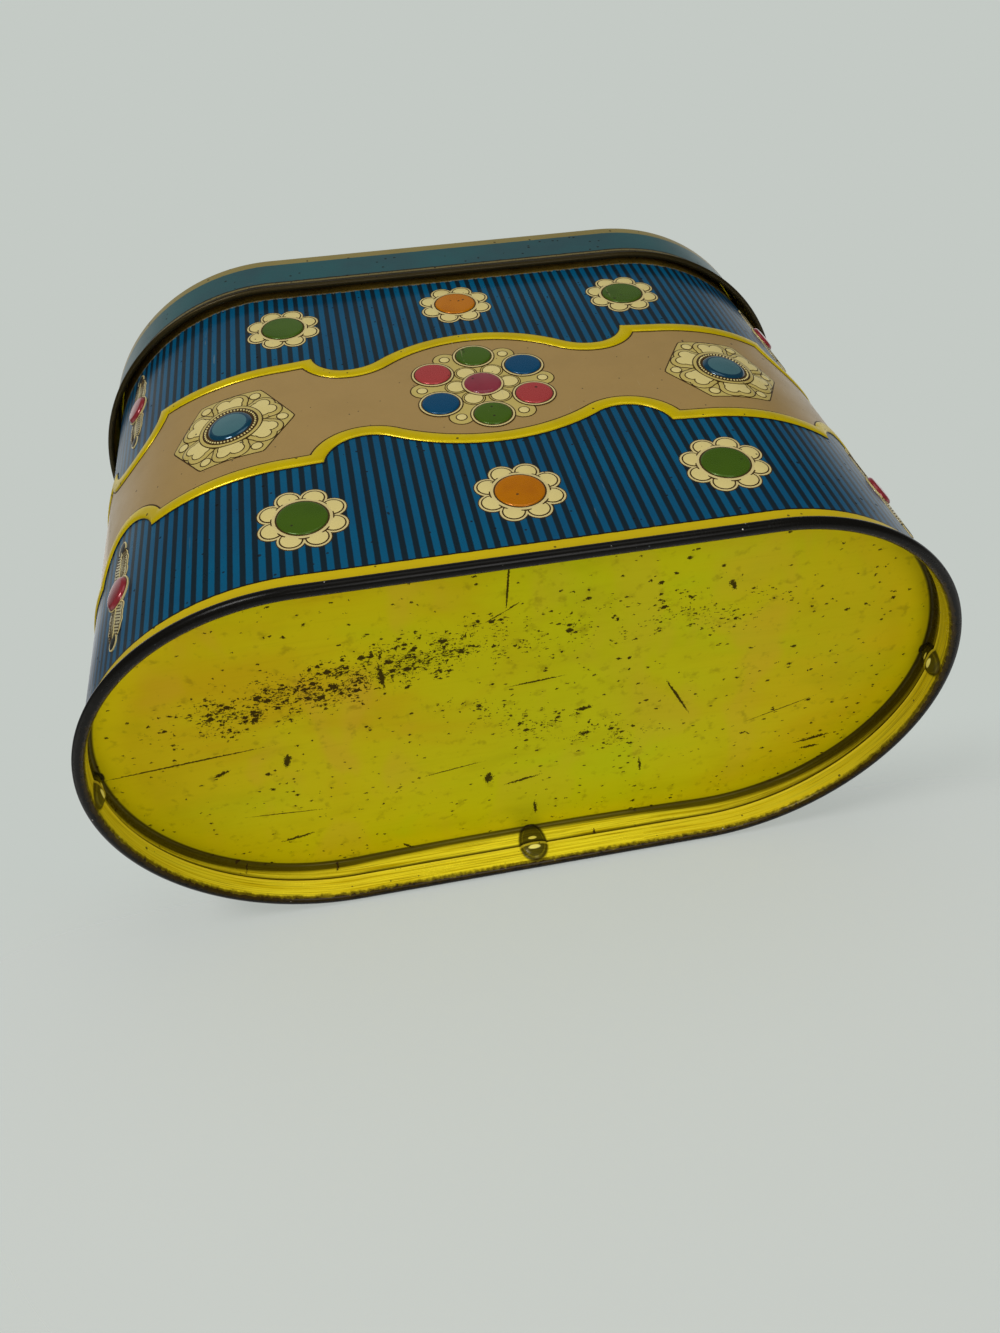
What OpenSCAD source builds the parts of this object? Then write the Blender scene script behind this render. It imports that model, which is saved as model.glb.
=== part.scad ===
// Oval slip-lid tin: a printed and embossed wall, a recessed base pan held in the wall's rolled hem,
// and a lid that slides over the curled top edge. The tin stands on its base bead at z = 0,
// its long sides run along X and its front faces -Y. All sizes are in millimetres.

/* [Body] */
// Length over the base bead
tin_l = 200; // [170:1:240]
// Width over the base bead; the ends are half circles
tin_w = 107; // [100:1:130]
// Height of the body to the top of its upper curl
body_h = 139; // [128:0.1:150]
// Thickness of the tinplate, the same in all three pieces
sheet = 0.35; // [0.25:0.05:0.45]
// How far the base bead stands out from the wall
bead_out = 1.5; // [1.2:0.1:2]
// Depth of the flat worn on the underside of the base bead
bead_flat = 0.05; // [0.03:0.01:0.1]
// Height of the hem's inner leg above the table
hem_h = 5.7; // [4.8:0.1:6.6]
// Diameter of the outward curl at the top edge
top_curl_d = 1.5; // [1.3:0.1:2]
// Width of the lock seam inside the back wall
seam_w = 5; // [4:0.5:8]
// Place of the lock seam, right of the middle of the back
seam_x = 29.5; // [24:0.5:34]

/* [Base pan] */
// Height of the pan's flat panel above the table
recess_h = 10; // [9:0.5:14]
// Radius between the panel and the pan's upright skirt
pan_edge_r = 1; // [0.8:0.1:2]
// Height of the skirt's lower edge, inside the hem
pan_foot_h = 3.2; // [3:0.1:4]
// Gap between the pan's skirt and the two leaves of the hem
hem_gap = 0.05; // [0.03:0.01:0.1]
// Width across a crimp where the hem and the pan are pressed in together
crimp_w = 6.4; // [4:0.1:8]
// Depth of a crimp
crimp_d = 1.2; // [0.8:0.1:1.6]

/* [Lid] */
// Height of the lid's skirt from the bottom of its rim to the top edge
skirt_h = 20.5; // [16:0.1:26]
// Running gap between the lid and the body's top curl
lid_gap = 0.4; // [0.2:0.05:0.5]
// Diameter of the outward curl on the lid's rim
rim_curl_d = 1.6; // [1.3:0.05:1.8]
// Radius of the lid's top edge
lid_edge_r = 1.5; // [1.3:0.1:2]
// Width of the flat margin round the lid's raised panel
margin_w = 6; // [4:0.5:10]
// Height of the raised panel above the margin
panel_rise = 1.5; // [0.8:0.1:2.5]
// Width of the slope between the margin and the raised panel
slope_w = 2; // [1:0.5:4]

/* [Embossing] */
// Height of the flat pads above the wall
pad_h = 0.45; // [0.4:0.05:0.8]
// Radius of a daisy's middle
daisy_r = 5.5; // [4:0.1:6.5]
// Distance between the daisy columns
daisy_pitch = 44; // [40:0.5:46]
// Height of the lower row of daisies
row_low = 23; // [22:0.5:27]
// Height of the upper row of daisies
row_high = 102; // [99:0.5:107]
// Height of the upper daisy over the middle of each side
row_crest = 106; // [99:0.5:107]
// Height of the middle of the cluster of discs
cluster_z = 65.2; // [62:0.1:68]
// Radius of the ring of discs in the cluster
cluster_r = 12.4; // [11:0.1:14]
// Radius of a disc in the cluster
disc_r = 4.4; // [3.5:0.1:5]
// Rise of the domed disc in the middle of the cluster
disc_dome = 0.9; // [0.7:0.1:1.5]
// Distance of the hexagon plaques from the middle of each side
plaque_s = 57.8; // [54:0.1:64]
// Height of the hexagon plaques
plaque_z = 61.5; // [58:0.5:68]
// Radius of the round stone in a plaque
stone_r = 5.4; // [4:0.1:6.5]
// Rise of the round stone
stone_dome = 1; // [0.8:0.1:2]
// Distance of the jewels on the round ends from the middle of each side
jewel_s = 89; // [84:0.5:95]
// Height of the lower jewels
jewel_low = 27.5; // [25:0.5:31]
// Height of the upper jewels
jewel_high = 99.5; // [96:0.5:104]
// Radius of a jewel
jewel_r = 3.9; // [3.2:0.1:5]
// Rise of a jewel
jewel_dome = 1.1; // [0.8:0.1:1.6]

/* [Hidden] */
$fn = 96;

// Outer face of the wall: the radius of the round ends and half of the straight run between them.
// In every section below, x is measured outwards from that face and y is the height.
end_r = tin_w / 2 - bead_out;
half_run = (tin_l - tin_w) / 2;

// Leaves of the hem from the outside in: the wall, the pan's skirt, the hem's inner leg
pan_out = -sheet - hem_gap;
pan_in = pan_out - sheet;
leg_out = pan_in - hem_gap;
leg_in = leg_out - sheet;
bead_d = bead_out - leg_in;
bead_x = (bead_out + leg_in) / 2;
bead_z = bead_d / 2 - bead_flat;
wall_foot = bead_z + sqrt(pow(bead_d / 2 - sheet / 2, 2) - pow(bead_x + sheet / 2, 2));

// Slit left between a curl's free edge and the sheet beside it
curl_slit = 0.15;
top_curl_x = top_curl_d / 2 - sheet;
top_curl_z = body_h - top_curl_d / 2;

lid_in = top_curl_d - sheet + lid_gap;
lid_out = lid_in + sheet;
lid_top = body_h + lid_gap + sheet;
rim_curl_x = lid_in + rim_curl_d / 2;
rim_curl_z = lid_top - skirt_h + rim_curl_d / 2;
margin_in = lid_out - lid_edge_r - margin_w;
panel_top = lid_top + panel_rise;

// A crimp is an upright round that bulges inwards from the hem's inner face
crimp_r = (pow(crimp_w / 2, 2) + pow(crimp_d, 2)) / (2 * crimp_d);
crimp_x = leg_in - crimp_d + crimp_r;

seam_t = 2 * sheet;

// How deep an ornament is rooted in the sheet, and how far the hollow behind it is cut towards the inside
root = 0.9 * sheet;
inside = 2 * (sheet + pad_h);

gold = "goldenrod";
print_blue = "steelblue";
lid_teal = "cadetblue";

// Sweeps a section round the tin's outline: two half turns and two straight runs.
module round_the_tin() {
  for (turn = [0, 180]) rotate([0, 0, turn]) translate([half_run, 0, 0]) {
    rotate([0, 0, -90]) rotate_extrude(angle = 180) translate([end_r, 0]) children();
    rotate([90, 0, -90]) linear_extrude(2 * half_run) translate([end_r, 0]) children();
  }
}

// A flat plate in the tin's outline, set out from the wall's face by x, from height z upwards.
module oval_plate(x, z, t) {
  translate([0, 0, z]) linear_extrude(t) {
    square([2 * half_run, 2 * (end_r + x)], center = true);
    for (side = [-1, 1]) translate([side * half_run, 0]) circle(end_r + x);
  }
}

// Section of a curled edge with its middle at the origin. The sheet comes up from below on the -x side,
// rolls over outwards, and its free edge stops short by the open width.
module curl(d, open) {
  difference() {
    circle(d / 2);
    circle(d / 2 - sheet);
    translate([-d, -d]) square([d / 2 + open, d]);
  }
}

// A rectangle between two corners, for sections.
module leaf(x0, x1, y0, y1) {
  translate([x0, y0]) square([x1 - x0, y1 - y0]);
}

// Places a shape on the wall's outer face, its own +Z pointing outwards and its +Y up,
// at a distance s along the outline from the middle of the front.
module on_wall(s, z) {
  run = min(abs(s), half_run);
  turn = (abs(s) - run) / end_r * 180 / PI;
  side = sign(s);
  translate([side * run, 0, z]) rotate([0, 0, side * turn]) translate([0, -end_r, 0]) rotate([90, 0, 0])
    children();
}

// A flat round pad pressed out of the sheet, or the hollow behind it.
module pad(r, hollow) {
  if (hollow) translate([0, 0, -inside]) cylinder(r = r - sheet, h = inside + pad_h - sheet);
  else translate([0, 0, -root]) cylinder(r = r, h = pad_h + root);
}

// A round dome pressed out of the sheet, or the hollow behind it.
module dome(r, rise, hollow) {
  ball = (r * r + rise * rise) / (2 * rise);
  floor_z = hollow ? -inside : -root;
  intersection() {
    translate([0, 0, rise - ball]) sphere(hollow ? ball - sheet : ball);
    translate([0, 0, floor_z]) cylinder(r = r, h = rise - floor_z + sheet);
  }
}

// All the pressed ornaments of the wall, front and back alike.
module embossing(hollow) {
  for (turn = [0, 180]) rotate([0, 0, turn]) {
    for (z = [row_low, row_crest]) on_wall(0, z) pad(daisy_r, hollow);
    for (side = [-1, 1], z = [row_low, row_high]) on_wall(side * daisy_pitch, z) pad(daisy_r, hollow);
    on_wall(0, cluster_z) {
      dome(disc_r, disc_dome, hollow);
      for (a = [30 : 60 : 330]) rotate([0, 0, a]) translate([cluster_r, 0, 0]) pad(disc_r, hollow);
    }
    for (side = [-1, 1]) {
      on_wall(side * plaque_s, plaque_z) dome(stone_r, stone_dome, hollow);
      for (z = [jewel_low, jewel_high]) on_wall(side * jewel_s, z) dome(jewel_r, jewel_dome, hollow);
    }
    on_wall(half_run + PI / 2 * end_r, plaque_z) dome(stone_r, stone_dome, hollow);
    for (z = [row_low, row_high]) on_wall(half_run + PI / 2 * end_r, z) pad(daisy_r, hollow);
  }
}

// Upright cylinders at the four crimps, in the middle of each side and each end.
module crimp_posts(r, z0, z1) {
  translate([0, 0, z0]) {
    for (side = [-1, 1]) {
      translate([0, side * (end_r + crimp_x), 0]) cylinder(r = r, h = z1 - z0);
      translate([side * (half_run + end_r + crimp_x), 0, 0]) cylinder(r = r, h = z1 - z0);
    }
  }
}

// A crimp's shell: the part of the posts' skin that lies inside the given face.
module crimp_shell(r, face, z0, z1) {
  intersection() {
    difference() {
      crimp_posts(r, z0, z1);
      crimp_posts(r - sheet, z0 - sheet, z1 + sheet);
    }
    oval_plate(face, z0, z1 - z0);
  }
}

// The printed wall: base bead and hem, upright sheet, outward curl at the top.
module body_wall() {
  leg_foot = bead_z + bead_d / 2;
  color(print_blue) {
    difference() {
      union() {
        round_the_tin() {
          difference() {
            translate([bead_x, bead_z]) mirror([0, 1]) curl(bead_d, -sheet - leg_in);
            leaf(leg_in, bead_out, -bead_d, 0);
          }
          leaf(leg_in, leg_out, bead_z, hem_h);
          leaf(-sheet, 0, wall_foot, top_curl_z);
          translate([top_curl_x, top_curl_z]) curl(top_curl_d, sheet + curl_slit);
        }
        translate([seam_x - seam_w / 2, end_r - sheet - seam_t, recess_h + 2 * sheet])
          cube([seam_w, seam_t + sheet / 2, top_curl_z - recess_h - 2 * sheet]);
        embossing(hollow = false);
      }
      embossing(hollow = true);
      intersection() {
        crimp_posts(crimp_r - sheet, leg_foot, hem_h + sheet);
        oval_plate(leg_out + hem_gap / 2, leg_foot, hem_h);
      }
    }
    crimp_shell(crimp_r, leg_out, leg_foot, hem_h);
  }
}

// The gold-lacquered pan: flat panel, rounded edge, skirt that stands inside the hem.
module base_pan() {
  edge_x = pan_out - pan_edge_r;
  edge_z = recess_h + sheet - pan_edge_r;
  post_r = crimp_r - sheet - hem_gap;
  color(gold) {
    difference() {
      union() {
        round_the_tin() {
          leaf(pan_in, pan_out, pan_foot_h, edge_z);
          translate([edge_x, edge_z]) intersection() {
            difference() {
              circle(pan_edge_r);
              circle(pan_edge_r - sheet);
            }
            square(2 * pan_edge_r);
          }
        }
        oval_plate(edge_x, recess_h, sheet);
      }
      crimp_posts(post_r - sheet, pan_foot_h - sheet, edge_z);
    }
    crimp_shell(post_r, pan_out, pan_foot_h, edge_z);
  }
}

// The slip lid: raised panel, margin, rounded edge, skirt and outward rim curl.
module lid() {
  edge_x = lid_out - lid_edge_r;
  edge_z = lid_top - lid_edge_r;
  slope_in = margin_in - slope_w;
  color(lid_teal) {
    round_the_tin() {
      translate([rim_curl_x, rim_curl_z]) mirror([0, 1]) curl(rim_curl_d, sheet + curl_slit);
      leaf(lid_in, lid_out, rim_curl_z, edge_z);
      translate([edge_x, edge_z]) intersection() {
        difference() {
          circle(lid_edge_r);
          circle(lid_edge_r - sheet);
        }
        square(2 * lid_edge_r);
      }
      leaf(margin_in, edge_x, lid_top - sheet, lid_top);
      polygon([[margin_in, lid_top - sheet], [margin_in, lid_top],
               [slope_in, panel_top], [slope_in, panel_top - sheet]]);
    }
    oval_plate(slope_in, panel_top - sheet, sheet);
  }
}

body_wall();
base_pan();
lid();
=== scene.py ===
# %% [markdown]
# # A printed oval tin
# The real tin is three pieces of thin tinplate. The sheet of the wall is printed and embossed while it is
# flat, bent round into an oval, and its lower edge is rolled into a bead that traps the base pan. The lid
# slips over the curled top edge. This script works the same way: ornaments are drawn on a flat sheet, with
# X along the outline, Y up the wall and Z out of it, in millimetres, and a small node tree rolls them on.

# %% Frame and sizes
import math
import bmesh
import bpy
from mathutils import Matrix, Vector


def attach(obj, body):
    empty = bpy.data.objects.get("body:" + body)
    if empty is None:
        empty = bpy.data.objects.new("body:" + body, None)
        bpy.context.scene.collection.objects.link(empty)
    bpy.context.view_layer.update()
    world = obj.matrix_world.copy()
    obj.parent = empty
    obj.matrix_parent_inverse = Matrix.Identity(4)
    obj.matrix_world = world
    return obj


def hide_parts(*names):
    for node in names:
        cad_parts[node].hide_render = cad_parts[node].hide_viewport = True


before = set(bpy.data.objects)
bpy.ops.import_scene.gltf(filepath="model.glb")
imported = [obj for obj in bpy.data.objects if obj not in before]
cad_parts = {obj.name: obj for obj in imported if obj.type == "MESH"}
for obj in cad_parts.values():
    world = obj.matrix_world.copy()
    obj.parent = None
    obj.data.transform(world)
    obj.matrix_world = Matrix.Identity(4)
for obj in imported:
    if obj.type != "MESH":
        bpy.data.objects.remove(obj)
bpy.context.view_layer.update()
MM = 0.001
HALF_RUN = 46.5
END_R = 52.0
SHEET = 0.35
ROUND = 4 * HALF_RUN + 2 * math.pi * END_R
QUARTER = ROUND / 4
BODY_H = 139.0
LID_GAP = 0.4
LID_EDGE = BODY_H + LID_GAP + SHEET
PANEL_RISE = 1.5
LID_TOP = LID_EDGE + PANEL_RISE
SKIRT_H = 20.5
RIM_CURL_D = 1.6
RIM_Z = LID_EDGE - SKIRT_H + RIM_CURL_D / 2
HEM_H = 5.7
PANEL_Z = 9.3

# %% [markdown]
# ## The camera
# The photograph looks up at the base from the front and below, with a phone's wide lens, so the tin stands
# upright here and the camera takes the odd place instead. Its axes are written out, because it is rolled.

# %% Camera
camera = bpy.data.objects.new("camera", bpy.data.cameras.new("camera"))
bpy.context.scene.collection.objects.link(camera)
bpy.context.scene.camera = camera
SENSOR_W, FOCAL_LENGTH = 36.0, 26.91
CAMERA_AT = Vector((-33.7, -173.6, -139.9)) * MM
camera.data.sensor_width = SENSOR_W
camera.data.lens = FOCAL_LENGTH
camera.data.clip_start = 0.005
looks_along = Vector((0.1206, 0.7210, 0.6823)).normalized()
to_the_right = Vector((0.9817, 0.0157, -0.1900))
to_the_right = (to_the_right - looks_along * to_the_right.dot(looks_along)).normalized()
upwards = to_the_right.cross(looks_along)
turned = Matrix((to_the_right, upwards, -looks_along)).transposed().to_4x4()
camera.matrix_world = Matrix.Translation(CAMERA_AT) @ turned
bpy.context.scene.view_settings.view_transform = "Standard"
print("camera at", tuple(round(c, 3) for c in camera.matrix_world.translation))

# %% [markdown]
# ## Writing nodes as sums
# A node tree is easier to read as maths. One small class holds a socket; adding or multiplying two of them
# adds a Math node, and make() adds any other kind. It serves shaders and Geometry Nodes alike.


# %% The wire
class Wire:
    """A socket in a node tree, which can be added, multiplied and compared."""

    def __init__(self, tree, socket=None):
        self.tree = tree
        self.socket = socket

    def make(self, kind, settings=None, inputs=None, out=0):
        """Adds a node of any kind: its settings first, then the values or wires of its inputs."""
        node = self.tree.nodes.new(kind)
        for key, value in (settings or {}).items():
            setattr(node, key, value)
        for key, value in (inputs or {}).items():
            for one in value if isinstance(value, list) else [value]:
                if isinstance(one, Wire):
                    self.tree.links.new(one.socket, node.inputs[key])
                else:
                    node.inputs[key].default_value = one
        return Wire(self.tree, node.outputs[out]) if len(node.outputs) else None

    def other(self, out):
        """Another output of the same node."""
        return Wire(self.tree, self.socket.node.outputs[out])

    def calc(self, operation, *more):
        return self.make("ShaderNodeMath", {"operation": operation}, dict(enumerate((self, *more))))

    def __add__(self, b):
        return self.calc("ADD", b)

    def __sub__(self, b):
        return self.calc("SUBTRACT", b)

    def __rsub__(self, b):
        return self.calc("MULTIPLY_ADD", -1.0, b)

    def __mul__(self, b):
        return self.calc("MULTIPLY", b)

    def __truediv__(self, b):
        return self.calc("DIVIDE", b)

    def __lt__(self, b):
        return self.calc("LESS_THAN", b)

    def __gt__(self, b):
        return self.calc("GREATER_THAN", b)

    def __abs__(self):
        return self.calc("ABSOLUTE")

    __radd__ = __add__
    __rmul__ = __mul__

    def ease(self, low, high):
        """0 below low, 1 above high, smooth between."""
        return self.make("ShaderNodeMapRange", {"interpolation_type": "SMOOTHSTEP"},
                         {0: self, 1: low, 2: high})

    def near(self, middle, width, soft):
        """1 within width of the middle, 0 outside."""
        return 1 - abs(self - middle).ease(width - soft, width + soft)

    def split(self):
        parts = self.make("ShaderNodeSeparateXYZ", None, {0: self})
        return parts, parts.other(1), parts.other(2)

    def join(self, x, y, z):
        return self.make("ShaderNodeCombineXYZ", None, {0: x, 1: y, 2: z})

    def scaled(self, factors):
        return self.make("ShaderNodeVectorMath", {"operation": "MULTIPLY"}, {0: self, 1: factors})

    def blend(self, first, second):
        """Mixes two colours by this wire."""
        return self.make("ShaderNodeMix", {"data_type": "RGBA"}, {0: self, 6: first, 7: second}, out=2)

    def noise(self, scale, detail=2.0, rough=0.5, warp=0.0):
        return self.make("ShaderNodeTexNoise", None, {"Vector": self, "Scale": scale, "Detail": detail,
                                                      "Roughness": rough, "Distortion": warp})


print("wire ready")

# %% [markdown]
# ## Rolling the flat sheet into the oval
# The tin's outline is two half circles joined by two straight runs. Any point of the flat sheet goes
# straight along the front, then round an end, then back along the rear. Geometry Nodes do this with a few
# lines of maths, so that every ornament, whatever its shape, bends exactly as the wall does.


# %% The rolling tree
def new_tree(name, sockets):
    """A Geometry Nodes tree with one geometry in and out, and the named inputs."""
    tree = bpy.data.node_groups.new(name, "GeometryNodeTree")
    tree.interface.new_socket("Geometry", in_out="OUTPUT", socket_type="NodeSocketGeometry")
    for label, kind in {"Geometry": "Geometry", **sockets}.items():
        tree.interface.new_socket(label, in_out="INPUT", socket_type="NodeSocket" + kind)
    return tree, Wire(tree).make("NodeGroupInput")


def end_tree(result):
    result.make("NodeGroupOutput", None, {0: result})


def end_dressed(start, result):
    """Closes a tree with real geometry instead of instances, and with its material set."""
    result = start.make("GeometryNodeRealizeInstances", None, {"Geometry": result})
    inputs = {"Geometry": result, "Material": start.other("Material")}
    end_tree(start.make("GeometryNodeSetMaterial", None, inputs))


def place(geometry, position):
    return geometry.make("GeometryNodeSetPosition", None, {"Geometry": geometry, "Position": position})


rolling, start = new_tree("roll_onto_the_wall", {})
s, z, out_by = start.make("GeometryNodeInputPosition").split()
far = abs(s)
turn = ((far - HALF_RUN) * (1 / END_R)).calc("MAXIMUM", 0.0).calc("MINIMUM", math.pi)
behind = (far - (HALF_RUN + math.pi * END_R)).calc("MAXIMUM", 0.0)
reach = out_by + END_R
x = s.calc("SIGN") * (far.calc("MINIMUM", HALF_RUN) + reach * turn.calc("SINE") - behind)
y = reach * turn.calc("COSINE") * -1.0
end_tree(place(start, s.join(x * MM, y * MM, z * MM)))
print("rolling tree has", len(rolling.nodes), "nodes")


# %% Turning a node tree's result into a plain mesh
def plain(obj, smooth=35):
    """Replaces the object's data by its evaluated mesh, with no modifier left, and closes its seams."""
    graph = bpy.context.evaluated_depsgraph_get()
    mesh = bpy.data.meshes.new_from_object(obj.evaluated_get(graph), preserve_all_data_layers=True,
                                           depsgraph=graph)
    obj.modifiers.clear()
    obj.data = mesh
    bm = bmesh.new()
    bm.from_mesh(mesh)
    bmesh.ops.remove_doubles(bm, verts=bm.verts, dist=0.002 * MM)
    bmesh.ops.dissolve_degenerate(bm, edges=bm.edges, dist=0.001 * MM)
    bmesh.ops.recalc_face_normals(bm, faces=bm.faces)
    bm.to_mesh(mesh)
    bm.free()
    mesh.shade_smooth()
    mesh.set_sharp_from_angle(angle=math.radians(smooth))
    return obj


def new_object(name, verts, edges=(), faces=(), **attributes):
    mesh = bpy.data.meshes.new(name)
    mesh.from_pydata(verts, edges, faces)
    for label, values in attributes.items():
        mesh.attributes.new(label, "FLOAT", "POINT").data.foreach_set("value", values)
    obj = bpy.data.objects.new(name, mesh)
    bpy.context.scene.collection.objects.link(obj)
    return obj


def run_tree(obj, tree, **inputs):
    """Adds the tree as a modifier, sets its inputs by identifier, and keeps the plain result."""
    modifier = obj.modifiers.new(tree.name, "NODES")
    modifier.node_group = tree
    for item in tree.interface.items_tree:
        if item.in_out == "INPUT" and item.name in inputs:
            modifier[item.identifier] = inputs[item.name]
    return plain(obj)


def drop(*objects):
    for obj in objects:
        bpy.data.objects.remove(obj)


print("helpers ready")

# %% [markdown]
# ## Materials
# All of the tin is printed or lacquered sheet, so one recipe serves most colours: an ink that is a little
# uneven, dark specks and rubbed lines where it has worn, and a varnish over it. Object coordinates in
# millimetres keep the wear at its real scale everywhere.


# %% The recipe for printed tin
def ink(red, green, blue):
    """A colour as it is read off a screen, turned into the linear values that Blender wants."""
    def linear(value):
        value = value / 255
        return value / 12.92 if value <= 0.04045 else ((value + 0.055) / 1.055) ** 2.4
    return (linear(red), linear(green), linear(blue), 1.0)


DARK_TIN = ink(42, 34, 20)
BRIGHT_TIN = ink(170, 160, 120)


def new_material(name):
    material = bpy.data.materials.new(name)
    material.use_nodes = True
    tree = material.node_tree
    shader = tree.nodes["Principled BSDF"]
    start = Wire(tree)
    spot = start.make("ShaderNodeTexCoord", out="Object").scaled((1000.0, 1000.0, 1000.0))
    return material, shader, spot


def connect(shader, **looks):
    """Sets or links the shader's sockets; underscores stand for spaces."""
    for key, value in looks.items():
        socket = shader.inputs[key.replace("_", " ")]
        if isinstance(value, Wire):
            value.tree.links.new(value.socket, socket)
        else:
            socket.default_value = value


def specks(spot, per_mm, size, share, room="3D"):
    """Dots of wear: one in each chosen cell, of its own size."""
    cell = spot.make("ShaderNodeTexVoronoi", {"voronoi_dimensions": room}, {"Vector": spot, "Scale": per_mm})
    chance, bulk, _ = cell.other("Color").split()
    return (cell < bulk * size) * (chance < share)


def rubbed(spot, stretch, level):
    """Fine broken lines, drawn out along the axis with the smallest stretch."""
    lines = spot.scaled(stretch).noise(1.0, 3.0, 0.6)
    patches = spot.noise(0.05, 2.0)
    return (lines + patches * 0.35).ease(level, level + 0.03)


def bumpy(height, strength, depth):
    inputs = {"Strength": strength, "Distance": depth * MM, "Height": height}
    return height.make("ShaderNodeBump", None, inputs)


def printed(name, colour, deep, rough=0.3, metal=0.0, coat=0.35, wear=0.08, uneven=0.1, gloss=0.2):
    """Ink on tinplate: colour with a deeper shade in clouds, grain, specks, rubbed lines and varnish."""
    material, shader, spot = new_material(name)
    clouds = spot.noise(0.11, 3.0, 0.6)
    grain = spot.noise(3.1, 2.0)
    tone = (clouds.ease(0.35, 0.75) * 0.7 + grain * 0.5) * (uneven * 4.0)
    dots = specks(spot, 0.95, 0.34, wear)
    lines = rubbed(spot, (1.4, 1.4, 0.09), 0.9)
    base = tone.calc("MINIMUM", 1.0).blend(colour, deep)
    base = (lines * 0.35).blend(base, BRIGHT_TIN)
    base = (dots * 0.85).blend(base, DARK_TIN)
    connect(shader, Base_Color=base, Metallic=metal, Coat_Weight=coat, Coat_Roughness=0.12,
            Specular_IOR_Level=gloss,
            Roughness=grain * 0.12 + clouds * 0.16 + (rough - 0.13) + dots * 0.25,
            Normal=bumpy(grain * 0.6 + clouds - dots * 0.8, 0.25, 0.05))
    return material


print("recipe ready")

# %% [markdown]
# ## Marks that the sheets share
# The big sheets carry their picture in coordinates that their meshes remember: s, the distance along the
# outline, t, the distance up the sheet, and which face of it a point lies on. Lacquer, stripes, crimps and
# the streaks left by drawing and rubbing turn up on more than one sheet, so each is a small function.

# %% Shared marks
STRIPES = 201
STRIPE_W = ROUND / STRIPES
CRIMP_HALF = 3.5


def sheet_coordinates(start):
    return start.make("ShaderNodeAttribute", {"attribute_name": "sheet"}, out="Vector").split()


def lacquer(spot, along):
    """Gold lacquer over tin: mottled between yellow, green and orange, with fine lengthwise streaks."""
    clouds = spot.scaled((0.6, 1.0, 1.0)).noise(0.035, 3.0, 0.55, 0.4)
    patches = spot.scaled((1.0, 0.5, 1.0)).noise(0.06, 2.0, 0.5, 0.6)
    streaks = spot.scaled(along).noise(1.0, 3.0, 0.65)
    tone = clouds.ease(0.30, 0.52).blend(ink(204, 172, 4), ink(206, 190, 4))
    tone = clouds.ease(0.52, 0.74).blend(tone, ink(192, 194, 4))
    tone = (patches.ease(0.52, 0.68) * 0.42).blend(tone, ink(214, 168, 44))
    return (streaks.ease(0.5, 0.85) * 0.12).blend(tone, ink(140, 118, 4)), streaks


def stripe_mask(s, flaw):
    """1 on the dark stripes, whose edges waver a little."""
    return ((s + flaw * 0.12) / STRIPE_W + 0.5).calc("FRACT").near(0.5, 0.235, 0.05)


def drawn_lines(spot, s, t):
    """Light and dark streaks along the sheet, from drawing it into shape."""
    return spot.join(s * 0.035, t * 2.6, 0.0).noise(1.0, 3.0, 0.6)


def rub_lines(spot, s, t):
    """Dark rubs along the sheet, where the lacquer has gone."""
    return spot.join(s * 0.03, t * 5.0, 4.0).noise(1.0, 3.0, 0.7).ease(0.56, 0.66)


def crimp_distance(s):
    """Distance along the outline to the middle of the nearest crimp."""
    return abs((s + QUARTER / 2).calc("FLOORED_MODULO", QUARTER) - QUARTER / 2)


def straightness(s):
    """1 in the middle of a long side, 0 in the middle of a round end."""
    return (s * (4 * math.pi / ROUND)).calc("COSINE") * 0.5 + 0.5


def crimp_round(s, rise):
    """Distance from the middle of a crimp, where 1 is its edge; rise is the same distance up the sheet."""
    side = crimp_distance(s) * (1 / CRIMP_HALF)
    return (side * side + rise * rise).calc("SQRT")


def painted_highlight_spot(s, t, at, half_s, half_t):
    """A painted highlight on a crimp, with its middle at t and half as wide and high as given."""
    side, rise = crimp_distance(s) * (1 / half_s), (t - at) * (1 / half_t)
    return 1 - (side * side + rise * rise).ease(0.5, 1.2)


print("stripes", STRIPES, "of", round(STRIPE_W, 3), "mm")

# %% [markdown]
# ## The wall's print
# Going up the sheet, t counts from the table: the black bead, the yellow foot line with its black edge, the
# striped blue, and the stained neck that the lid covers. Below zero it goes on round the bead and up the
# gold hem inside the base, so one material can print it all by ranges of t.

# %% Wall picture
BLACK_TO = 3.2
YELLOW_TO = 5.9
EDGE_TO = 6.3
wall_print, shader, spot = new_material("wall_print")
s, t, face = sheet_coordinates(spot)
flaw = spot.noise(0.9, 3.0, 0.6) - 0.5
grain = spot.noise(2.6, 2.0)
clouds = spot.noise(0.045, 3.0, 0.6)
dark = stripe_mask(s, flaw)
blue = clouds.ease(0.35, 0.7).blend(ink(3, 75, 106), ink(5, 67, 99))
blue = (grain.ease(0.5, 0.9) * 0.35).blend(blue, ink(8, 50, 68))
picture = dark.blend(blue, ink(16, 31, 39))
edge = t + flaw * 0.25
yellow = clouds.blend(ink(188, 164, 4), ink(172, 148, 6))
black = (grain * 0.4).blend(ink(12, 11, 9), ink(26, 24, 20))
picture = edge.ease(EDGE_TO, EDGE_TO + 0.15).blend(black, picture)
picture = edge.ease(YELLOW_TO, YELLOW_TO + 0.15).blend(yellow, picture)
picture = edge.ease(BLACK_TO, BLACK_TO + 0.3).blend(black, picture)
print("picture has", len(wall_print.node_tree.nodes), "nodes")
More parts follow.
